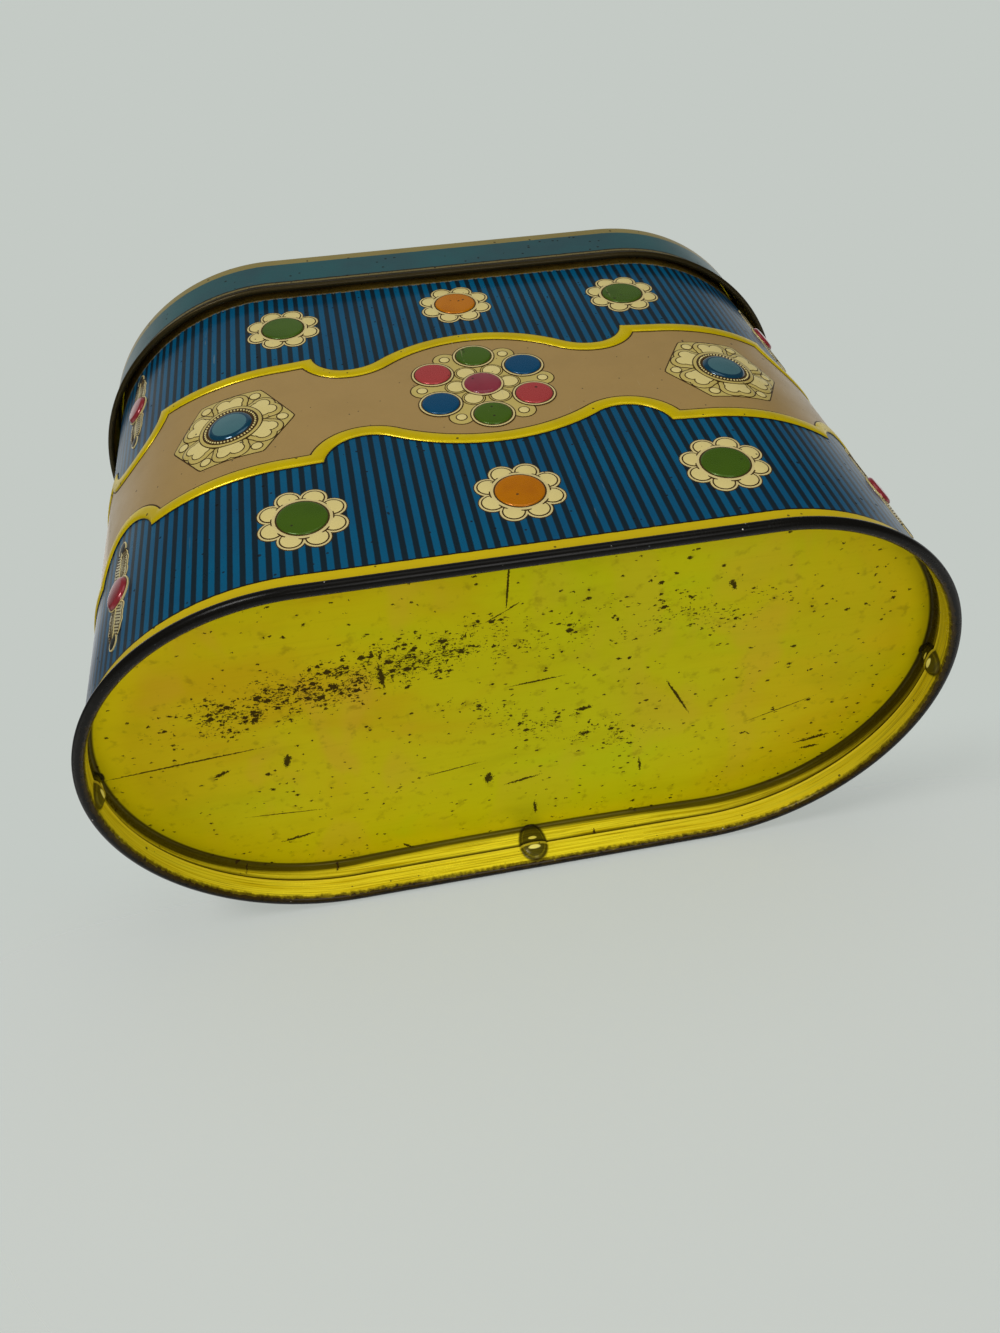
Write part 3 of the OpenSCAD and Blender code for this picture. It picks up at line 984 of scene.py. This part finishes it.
result = start.make("GeometryNodeSwitch", {"input_type": "GEOMETRY"},
                    {"Switch": start.other("On the lid"), "False": both, "True": laid})
end_dressed(start, result)
print("pressing tree has", len(pressing.nodes), "nodes")


def press(name, stamp_tile, centres, material, copies=1, radius=0.0, first=0.0, lid_centres=(), stretch=1.0):
    """Stamps the tile on the wall, and on the lid where it has centres there."""
    die = new_object("die", stamp_tile[0], faces=stamp_tile[1])
    made = []
    for suffix, points, body in (("", centres, "tin"), ("_on_lid", lid_centres, "lid")):
        if not points:
            continue
        sheet = new_object(name + suffix, [(p[0], p[1], 0.0) for p in points])
        run_tree(sheet, pressing, **{
            "Stamp": die, "Copies": copies, "Ring radius": radius, "First angle": math.radians(first),
            "Stretch": 1.0 if body == "lid" else stretch, "On the lid": body == "lid", "Material": material})
        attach(sheet, body)
        "printed_wall" if body == "tin" else "lid_print"
        made.append(len(sheet.data.polygons))
    drop(die)
    print(name, made, "faces")


def stack(centres, lid_centres, stretch, *layers):
    """Presses layers one on another. Each is a name, a tile and an ink and, for a ring of copies, how many
    there are, at which radius and from which angle."""
    for name, stamp_tile, material, *ring_of in layers:
        press(name, stamp_tile, centres, material, *ring_of, lid_centres=lid_centres, stretch=stretch)


# %% Inks
cream = printed("cream_ink", ink(200, 184, 120), ink(182, 164, 98), rough=0.34, wear=0.05)
pale = printed("pale_ink", ink(194, 177, 120), ink(170, 152, 98), rough=0.36, wear=0.1)
straw = printed("straw_ink", ink(176, 158, 88), ink(150, 130, 64), rough=0.34, wear=0.08)
brown = printed("brown_ink", ink(60, 40, 8), ink(42, 27, 6), rough=0.45, coat=0.02, wear=0.02)
black_line = printed("black_line", ink(30, 30, 26), ink(20, 22, 22), rough=0.4, coat=0.1, wear=0.02)
tan = printed("tan_ink", ink(149, 121, 69), ink(135, 109, 59), rough=0.36, coat=0.2, wear=0.05, gloss=0.4)
border_gold = printed("border_gold", ink(204, 180, 2), ink(174, 148, 4), rough=0.3, metal=0.3, coat=0.1,
                      wear=0.1, uneven=0.14, gloss=0.12)
green = printed("green_ink", ink(68, 96, 20), ink(50, 74, 16), rough=0.26, metal=0.25, coat=0.15,
                wear=0.16, uneven=0.14)
orange = printed("orange_ink", ink(188, 114, 0), ink(152, 80, 2), rough=0.26, metal=0.25, coat=0.1,
                 wear=0.25, uneven=0.16)
blue = printed("blue_ink", ink(3, 69, 104), ink(3, 56, 88), rough=0.26, metal=0.25, coat=0.15, wear=0.06)
rose = printed("rose_ink", ink(166, 62, 60), ink(146, 48, 50), rough=0.26, metal=0.25, coat=0.15, wear=0.1)
plum = printed("plum_ink", ink(128, 50, 60), ink(92, 30, 42), rough=0.22, coat=0.3, wear=0.1)
# painted light: the stone's top and bevel are lit and shaded copies of one blue, lighter on top, darker at the
# edge
stone = printed("stone_lit_blue", ink(76, 116, 122), ink(58, 96, 106), rough=0.16, metal=0.3, coat=0.5, wear=0.03)
stone_shaded_edge = printed("stone_edge_blue", ink(20, 70, 92), ink(14, 52, 74), rough=0.14, metal=0.4, coat=0.8,
                     wear=0.02)
ruby = printed("ruby_red", ink(138, 46, 52), ink(108, 30, 38), rough=0.18, metal=0.2, coat=0.5, wear=0.04)
leaf = printed("leaf_ink", ink(180, 172, 134), ink(128, 120, 84), rough=0.36, wear=0.1, uneven=0.2)
print("inks ready")

# %% [markdown]
# ## The band and its border
# A tan band with a wavy outline runs round the middle, edged by a raised gold border. The outline is a chain
# of arcs, each given by the place and height of its tip, its radius, whether it arches up or down, and where
# it hands over to the next. It is the same to the left and right, and on the back.

# %% Border outline
UPPER = [(0, 89.4, 35.5, 1, 22.77), (30.3, 78.4, 11.73, -1, 30.3), (30.3, 78.4, 8.3, -1, 38.5),
         (59, 83.4, 105, -1, 78.0), (89, 75.33, 11.07, -1, 100.0), (QUARTER, 83.6, 255, -1, QUARTER)]
LOWER = [(0, 41.5, 43, -1, 23.1), (28.6, 49.85, 10.2, 1, 28.6), (28.6, 49.85, 10, 1, 38.45),
         (66, 40.1, 254, -1, 78.3), (89, 48.6, 11, 1, 99.7), (QUARTER, 41.6, 255, 1, QUARTER)]


def height_on(arcs, u):
    """Height of the outline at a distance u from the middle, up to a quarter round."""
    for centre, tip, radius, up, stop in arcs:
        if u <= stop + 1e-6:
            return tip - up * (radius - math.sqrt(max(0.0, radius * radius - (u - centre) ** 2)))


def moved(arcs, by):
    """The chain of arcs moved up across its run, with its hand-overs where the new arcs meet."""
    fresh = [[c, tip + by, r + up * by, up, stop] for c, tip, r, up, stop in arcs]
    for first, second, old in zip(fresh, fresh[1:], arcs):
        x0, z0 = first[0], first[1] - first[3] * first[2]
        x1, z1 = second[0], second[1] - second[3] * second[2]
        apart = math.hypot(x1 - x0, z1 - z0)
        along = (first[2] ** 2 - second[2] ** 2 + apart ** 2) / (2 * apart)
        aside = math.sqrt(max(0.0, first[2] ** 2 - along ** 2))
        meets = [x0 + along * (x1 - x0) / apart + way * aside * (z1 - z0) / apart for way in (-1, 1)]
        first[4] = min(meets, key=lambda u: abs(u - old[4]))
    return fresh


def course(arcs, by, step=0.7):
    """Points of the moved outline from one end's middle to the other's; their number doesn't depend on by."""
    points, begin, before = [], 0.0, 0.0
    for (centre, tip, radius, up, stop), old in zip(moved(arcs, by), arcs):
        a, b = (math.asin(max(-1.0, min(1.0, (v - centre) / radius))) for v in (begin, stop))
        count = max(4, math.ceil((old[4] - before) / step))
        for i in range(0 if not points else 1, count + 1):
            lean = a + (b - a) * i / count
            points.append((centre + radius * math.sin(lean), tip - up * radius * (1 - math.cos(lean))))
        begin, before = stop, old[4]
    return [(-u, v) for u, v in points[:0:-1]] + points


def ribbon(arcs, section):
    """A closed strip along the outline; its section is a list of (moved by, height) points."""
    rows = [course(arcs, by) for by, _ in section]
    length = len(rows[0])
    verts = [(u, v, height) for row, (_, height) in zip(rows, section) for u, v in row]
    faces = []
    for k in range(len(section)):
        here, there = k * length, (k + 1) % len(section) * length
        faces += [(here + i, here + i + 1, there + i + 1, there + i) for i in range(length - 1)]
    return verts, faces


def rule(by, width, top):
    """Section of a thin printed line."""
    low, high = by - width / 2, by + width / 2
    return [(low, ROOT), (low, top), (by, top + 0.01), (high, top), (high, ROOT)]


print("band is", round(height_on(UPPER, 0) - height_on(LOWER, 0), 1), "mm high in the middle")


# %% Border ridges
RIDGE_W = 3.3
flank = [(0.0, ROOT), (0.0, 0.14), (0.15, 0.3), (0.45, 0.42), (0.95, 0.48)]
ridge = flank + [(RIDGE_W / 2, 0.5)] + [(RIDGE_W - by, height) for by, height in flank[::-1]]
for label, arcs, inwards in (("border_upper", UPPER, -1), ("border_lower", LOWER, 1)):
    press(label, ribbon(arcs, [(inwards * by, height) for by, height in ridge]), [(0, 0)], border_gold)
    press(label + "_line", ribbon(arcs, rule(inwards * (RIDGE_W + 0.12), 0.42, 0.17)), [(0, 0)], brown)
    press(label + "_edge", ribbon(arcs, rule(inwards * -0.1, 0.32, 0.15)), [(0, 0)], black_line)

# %% Tan band
COLUMN = 0.5
UNDER_RIDGE = 1.2
BAND_TOP = 0.1
columns = [i * COLUMN for i in range(int(QUARTER / COLUMN))] + [QUARTER]
columns = [-c for c in columns[:0:-1]] + columns
shares = [i / 10 for i in range(11)]
verts, faces = [], []
for level in (ROOT, BAND_TOP):
    for c in columns:
        low, high = height_on(LOWER, abs(c)) + UNDER_RIDGE, height_on(UPPER, abs(c)) - UNDER_RIDGE
        verts += [(c, low + (high - low) * f, level) for f in shares]
rows, side = len(shares), len(columns) * len(shares)
for i in range(len(columns) - 1):
    for j in range(rows - 1):
        a = i * rows + j
        faces.append((a, a + 1, a + rows + 1, a + rows))
        faces.append((side + a, side + a + rows, side + a + rows + 1, side + a + 1))
    for j in (0, rows - 1):
        a = i * rows + j
        faces.append((a, a + rows, side + a + rows, side + a))
press("tan_band", (verts, faces), [(0, 0)], tan)

# %% [markdown]
# ## Daisies
# Eight petals round a raised disc. Each petal is a cream pillow in a brown outline on a pale scalloped
# ground, and a pale ring with brown edges surrounds the disc.

# %% Daisies
GREEN_DAISIES = [(-44, 23.0), (44, 23.4), (-44.6, 102.2), (43.8, 102.0), (QUARTER, 23), (QUARTER, 102)]
ORANGE_DAISIES = [(0, 22.8), (0, 105.8)]
DAISIES = GREEN_DAISIES + ORANGE_DAISIES
LID_GREEN = [(-27, 26), (27, 26), (-27, -26), (27, -26)]
LID_ORANGE = [(0, 32), (0, -32)]
LID_DAISIES = LID_GREEN + LID_ORANGE
PETAL_AT = 6.65
FIRST_PETAL = 22.5
TALLER = 1.04
turns = [math.radians(FIRST_PETAL + 45 * i) for i in range(8)]
scallops = [(PETAL_AT * math.cos(a), PETAL_AT * math.sin(a), 2.8) for a in turns] + [(0, 0, 6)]
petal_ring = (8, PETAL_AT, FIRST_PETAL)
stack(DAISIES, LID_DAISIES, TALLER,
      ("daisy_edge", plate(blob(scallops, 0.22, 192), 0.04), brown),
      ("daisy_ground", plate(blob(scallops, 0.0, 192), 0.07), pale),
      ("petal_lines", plate(circle(2.4, 32), 0.11), brown, *petal_ring),
      ("petals", pillow(circle(2.1, 32), 0.14, 0.12), cream, *petal_ring),
      ("daisy_ring_line", plate(circle(6.36), 0.2), brown),
      ("daisy_ring", plate(circle(6.08), 0.24), pale),
      ("daisy_disc_line", plate(circle(5.46), 0.27), brown))
daisy_disc = boss(circle(5.18), 0.5)
stack(GREEN_DAISIES, LID_GREEN, TALLER, ("green_discs", daisy_disc, green))
stack(ORANGE_DAISIES, LID_ORANGE, TALLER, ("orange_discs", daisy_disc, orange))

# %% [markdown]
# ## The cluster
# In the middle of each long side six coloured discs stand round a plum-coloured dome. Between them are cream
# petals and six arms that end in a small ringed dot.

# %% Cluster of discs
CLUSTER = [(0, 65.2)]
LID_CLUSTER = [(0, 0)]
arms = [(0, 0, 9.2)]
for i in range(6):
    a = math.radians(60 * i)
    arms += [(d * math.cos(a), d * math.sin(a), r) for d, r in ((10.5, 2.2), (12, 2.3), (14.0, 2.75))]
DISCS_AT = 12.5
petal_ring, dot_ring, disc_ring = (6, 6.2, 0), (6, 14.2, 0), (6, DISCS_AT, 30)
disc = boss(circle(4.28), 0.56, 0.1)
stack(CLUSTER, LID_CLUSTER, TALLER,
      ("cluster_line", plate(blob(arms, 0.3, 240), 0.12), brown),
      ("cluster_ground", plate(blob(arms, 0.0, 240), 0.15), straw),
      ("cluster_petal_lines", plate(circle(2.78, 32), 0.18), brown, *petal_ring),
      ("cluster_petal_edges", plate(circle(2.54, 32), 0.2), straw, *petal_ring),
      ("cluster_petal_inner_lines", plate(circle(2.3, 32), 0.22), brown, *petal_ring),
      ("cluster_petals", pillow(circle(2.06, 32), 0.24, 0.08), cream, *petal_ring),
      ("cluster_dot_lines", plate(circle(1.36, 24), 0.18), brown, *dot_ring),
      ("cluster_dots", pillow(circle(1.1, 24), 0.2, 0.1), cream, *dot_ring),
      ("disc_ring_lines", plate(circle(5.14), 0.26), brown, *disc_ring),
      ("disc_rings", plate(circle(4.88), 0.28), pale, *disc_ring),
      ("disc_inner_lines", plate(circle(4.5), 0.3), brown, *disc_ring),
      ("cluster_discs_green", disc, green, 2, DISCS_AT, 90),
      ("cluster_discs_blue", disc, blue, 2, DISCS_AT, 30),
      ("cluster_discs_rose", disc, rose, 2, DISCS_AT, 150),
      ("cluster_dome_line", plate(circle(5.0), 0.34), brown),
      ("cluster_dome_ring", plate(circle(4.78), 0.36), pale),
      ("cluster_dome", boss(circle(4.42), 0.84, 0.22, 0.14), plum))

# %% [markdown]
# ## Hexagon plaques
# A rounded hexagon of straw gold with brown line work: six heart-shaped petals under raised arches, a ringed
# dot in each corner, and in the middle a beaded ring round a polished blue stone, pressed as a dome. The stone
# is two copies of one blue: a lighter top as painted reflection and a darker bevel as painted shade.

# %% Plaques
PLAQUES = [(-58.2, 61.5), (57.5, 61.6), (QUARTER, 61.5)]
LID_PLAQUES = [(-52, 0), (52, 0)]


def hexagon(apothem, corner, count=120):
    """A hexagon with flat top and bottom and rounded corners."""
    inner = apothem - corner
    points = []
    for i in range(count):
        a = 2 * math.pi * i / count
        off = (a + math.pi / 6) % (math.pi / 3) - math.pi / 6
        tip = inner / math.cos(math.pi / 6)
        flat = apothem / math.cos(math.pi / 6 - abs(off))
        gap = corner ** 2 - (tip * math.sin(off)) ** 2
        r = min(flat, tip * math.cos(off) + math.sqrt(gap)) if gap > 0 else flat
        points.append((r * math.cos(a), r * math.sin(a)))
    return points


HEART = [(0.9, 1.5, 1.55), (0.9, -1.5, 1.55), (-0.7, 0.8, 1.95), (-0.7, -0.8, 1.95), (-2.2, 0, 2.1)]
ARCH = [(1, ROOT), (1, 0.2), (0.94, 0.3), (0.88, 0.34), (0.8, 0.36), (0.5, 0.36), (0.25, 0.36)]
heart_ring, corner_ring, bead_ring = (6, 8.7, 30), (6, 11.85, 0), (46, 5.92, 0)
stack(PLAQUES, LID_PLAQUES, 1.0,
      ("plaque_line", plate(hexagon(12.88, 1.2), 0.13), brown),
      ("plaque_ground", plate(hexagon(12.58, 1.1), 0.16), straw),
      ("arch_lines", plate(blob(HEART, 1.5, 96), 0.19), brown, *heart_ring),
      ("arches", tile(blob(HEART, 1.22, 96), ARCH), straw, *heart_ring),
      ("heart_lines", plate(blob(HEART, 0.3, 96), 0.38), brown, *heart_ring),
      ("hearts", pillow(blob(HEART, 0.03, 96), 0.4, 0.08), cream, *heart_ring),
      ("corner_dot_lines", plate(circle(1.44, 24), 0.19), brown, *corner_ring),
      ("corner_dots", pillow(circle(1.16, 24), 0.21, 0.1), cream, *corner_ring),
      ("stone_ring_line", plate(circle(7.6), 0.5), brown),
      ("stone_ring", plate(circle(7.34), 0.53), straw),
      ("stone_ring_inner_line", plate(circle(6.62), 0.55), brown),
      ("beads", dome(circle(0.33, 10), 0.74), cream, *bead_ring),
      # painted shade on the stone's bevel, painted reflection on its top
      ("stone_edges", boss(circle(5.3, 64), 0.94, 0.2, 0.0), stone_shaded_edge),
      ("stones", pillow(circle(4.3, 64), 0.92, 0.14), stone))

# %% [markdown]
# ## Jewels at the round ends
# Where the band narrows on the round ends stands a tall ornament: an oval red jewel between two hatched
# leaves, each with a small dark dot at its tip.

# %% Jewels
JEWELS = [(side * 89, z) for side in (-1, 1) for z in (27.5, 99.5)]
LEAF = [(0, 0, 2.5), (1.7, 0.9, 1.7), (1.7, -0.9, 1.7), (3.6, 0.5, 1.5), (3.6, -0.5, 1.5), (-2.2, 0.5, 2.2),
        (-2.2, -0.5, 2.2), (5.0, 0, 1.3)]
VEIN_SLANT = 52
VEIN_HALF = 0.11
veins = []
for i in range(-4, 7):
    for side in (-1, 1):
        reach = 1.5 - 0.12 * abs(i - 0.5)
        a = math.radians(side * VEIN_SLANT)
        box = ((-reach, -VEIN_HALF), (reach, -VEIN_HALF), (reach, VEIN_HALF), (-reach, VEIN_HALF))
        slant = [(u * math.cos(a) - v * math.sin(a), u * math.sin(a) + v * math.cos(a)) for u, v in box]
        veins.append(plate(slant, 0.29, (i * 0.95 - 0.6, side * 0.95)))
rib = [(-4.6, -0.16), (5.6, -0.1), (5.6, 0.1), (-4.6, 0.16)]
leaf_ring, tip_ring = (2, 8.0, 90), (2, 14.7, 90)
stack(JEWELS, (), 1.0,
      ("leaf_lines", plate(blob(LEAF, 0.32, 96), 0.09), pale, *leaf_ring),
      ("leaf_inner_lines", plate(blob(LEAF, 0.05, 96), 0.12), brown, *leaf_ring),
      ("leaves", pillow(blob(LEAF, -0.12, 96), 0.15, 0.12), leaf, *leaf_ring),
      ("leaf_veins", together(*veins), brown, *leaf_ring),
      ("leaf_ribs", plate(rib, 0.31), cream, *leaf_ring),
      ("leaf_tip_lines", plate(circle(2.35, 28, 0.62), 0.2), pale, *tip_ring),
      ("leaf_tips", pillow(circle(2.0, 28, 0.56), 0.24, 0.1), black_line, *tip_ring),
      ("jewel_edges", plate(circle(3.95, 48, 1.14), 0.3), pale),
      ("jewel_lines", plate(circle(3.72, 48, 1.14), 0.33), brown),
      ("jewels", boss(circle(3.58, 48, 1.15), 1.1, 0.26, 0.12), ruby))

# %% [markdown]
# ## The lock seam
# Inside the back, right of the middle, the two ends of the wall's sheet are hooked together and pressed flat.
# What shows is a strip of four layers, so a thin bevelled bar is enough.

# %% Lock seam
SEAM_W = 5.0
sides, skins, ends = (SEAM_X - SEAM_W / 2, SEAM_X + SEAM_W / 2), (50.95, 51.7), (11.6, BODY_H - 0.8)
corners = [(x * MM, y * MM, z * MM) for z in ends for y in skins for x in sides]
seam = new_object("seam_strip", corners, faces=[
    (0, 1, 3, 2), (4, 6, 7, 5), (0, 4, 5, 1), (1, 5, 7, 3), (3, 7, 6, 2), (2, 6, 4, 0)])
seam.data.materials.append(wall_print)
softened = seam.modifiers.new("softened", "BEVEL")
softened.width, softened.segments = 0.25 * MM, 3
plain(seam)
lie = seam.data.attributes.new("sheet", "FLOAT_VECTOR", "POINT").data
for vertex, value in zip(seam.data.vertices, lie):
    value.vector = (SEAM_S, vertex.co.z / MM, 0.0)
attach(seam, "tin")
print("seam strip", len(seam.data.polygons), "faces")

# %% [markdown]
# ## What rides on what
# The wall and the pan belong to the tin, the lid to itself. Each stands for its CAD solid.

# %% Riding
for piece, body, node in ((wall, "tin", "body_wall"), (pan, "tin", "base_pan"), (lid, "lid", "lid")):
    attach(piece, body)
    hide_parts(node)
print("the tin carries the wall and the pan, the lid rides by itself")

# %% [markdown]
# ## Floor, card and light
# The tin stands on a floor that is seen only from above, because the photograph looks up from below it.
# There the tin lies on its back, so a pale card close behind it takes the shadow, and fades out into a
# backdrop of about the same tone. Both let all light through except what goes to the camera.


# %% Stage
def one_sided(name, colour, fade=None):
    """A pale surface seen by the camera from its front only."""
    material = bpy.data.materials.new(name)
    material.use_nodes = True
    tree = material.node_tree
    tree.nodes.clear()
    start = Wire(tree)
    seen = start.make("ShaderNodeLightPath", out="Is Camera Ray")
    seen = seen * (1 - start.make("ShaderNodeNewGeometry", out="Backfacing"))
    if fade:
        seen = seen * fade(start.make("ShaderNodeTexCoord", out="Object"))
    paint = start.make("ShaderNodeBsdfDiffuse", None, {"Color": colour})
    clear = start.make("ShaderNodeBsdfTransparent")
    both = start.make("ShaderNodeMixShader", None, {0: seen, 1: clear, 2: paint})
    start.make("ShaderNodeOutputMaterial", None, {0: both})
    return material


def card_fade(spot):
    """How much of the card shows: most just below the tin, and none far from it or above its foot."""
    x, _, z = spot.split()
    far = ((x * 4.0).calc("POWER", 2.0) + ((z + 0.02) * 5.0).calc("POWER", 2.0)).calc("SQRT")
    return (1 - far.ease(0.4, 1.0)) * (1 - z.ease(0.0, 0.03)) * 0.43


FLOOR_HALF = 3.0
AROUND = ((-1, -1), (1, -1), (1, 1), (-1, 1))
floor = new_object("floor", [(sx * FLOOR_HALF, sy * FLOOR_HALF, 0) for sx, sy in AROUND],
                   faces=[(0, 1, 2, 3)])
floor.data.materials.append(one_sided("floor_white", (0.82, 0.83, 0.82, 1.0)))
CARD_HALF, CARD_LOW, CARD_HIGH = 0.3, -0.3, 0.36
BEAD_REACH, LID_REACH, RISE = 53.55, 54.95, 119.0
CARD_GAP = 0.05
lean = (LID_REACH - BEAD_REACH) / RISE
card_y = (BEAD_REACH + CARD_GAP - 1.3 * lean) * MM
card = new_object("card", [(sx * CARD_HALF, card_y + v * lean, v)
                           for sx, v in ((-1, CARD_LOW), (1, CARD_LOW), (1, CARD_HIGH), (-1, CARD_HIGH))],
                  faces=[(0, 1, 2, 3)])
card.data.materials.append(one_sided("card_white", (0.595, 0.612, 0.587, 1.0), card_fade))
print("card leans by", round(math.degrees(math.atan(lean)), 2), "degrees")

# %% [markdown]
# ## World and lamps
# The camera sees an even backdrop. Gloss sees a room instead: dark in front, so that the wall keeps its deep
# blue, and bright behind and low down. Four soft lamps give the wall, the base and the back their light.

# %% World and lamps
world = bpy.data.worlds.new("backdrop")
bpy.context.scene.world = world
world.use_nodes = True
start = Wire(world.node_tree)
light = start.make("ShaderNodeLightPath", out="Is Camera Ray")
mirrored = (light.other("Is Glossy Ray") + light.other("Is Transmission Ray")).calc("MINIMUM", 1.0)
aside, behind, above = start.make("ShaderNodeTexCoord", out="Generated").split()
in_front = above.ease(0.78, 0.92).blend((0.03, 0.032, 0.033, 1.0), (0.28, 0.29, 0.29, 1.0))
at_the_back = (above + aside * 0.27).ease(0.5, 0.68).blend((0.05, 0.052, 0.052, 1.0), (0.72, 0.74, 0.72, 1.0))
at_the_back = above.ease(-0.2, 0.4).blend((0.74, 0.75, 0.72, 1.0), at_the_back)
room = behind.ease(-0.2, 0.3).blend(in_front, at_the_back)
tone = mirrored.blend((0.42, 0.43, 0.43, 1.0), room)
tone = light.blend(tone, (0.552, 0.591, 0.558, 1.0))
world.node_tree.links.new(tone.socket, world.node_tree.nodes["Background"].inputs["Color"])


MIDDLE = Vector((0.0, 0.0, 0.06))


def lamp(name, at, watts, size, tint):
    """A square lamp that faces the middle of the tin."""
    data = bpy.data.lights.new(name, "AREA")
    data.energy, data.size, data.color = watts, size, tint
    obj = bpy.data.objects.new(name, data)
    bpy.context.scene.collection.objects.link(obj)
    aim = MIDDLE - Vector(at)
    obj.matrix_world = Matrix.Translation(Vector(at)) @ aim.to_track_quat("-Z", "Y").to_matrix().to_4x4()


lamp("window", (0.1, -0.85, 0.2), 0.9, 0.5, (1.0, 0.99, 0.97))
lamp("low", (-0.45, -0.8, -0.1), 3.5, 0.25, (1.0, 0.99, 0.97))
lamp("room", (0.1, -0.45, -0.52), 1.34, 0.3, (1.0, 0.99, 0.98))
lamp("rear", (-0.1, 0.8, 0.42), 2.8, 1.1, (1.0, 0.99, 0.98))
print("lamps", len(bpy.data.lights))
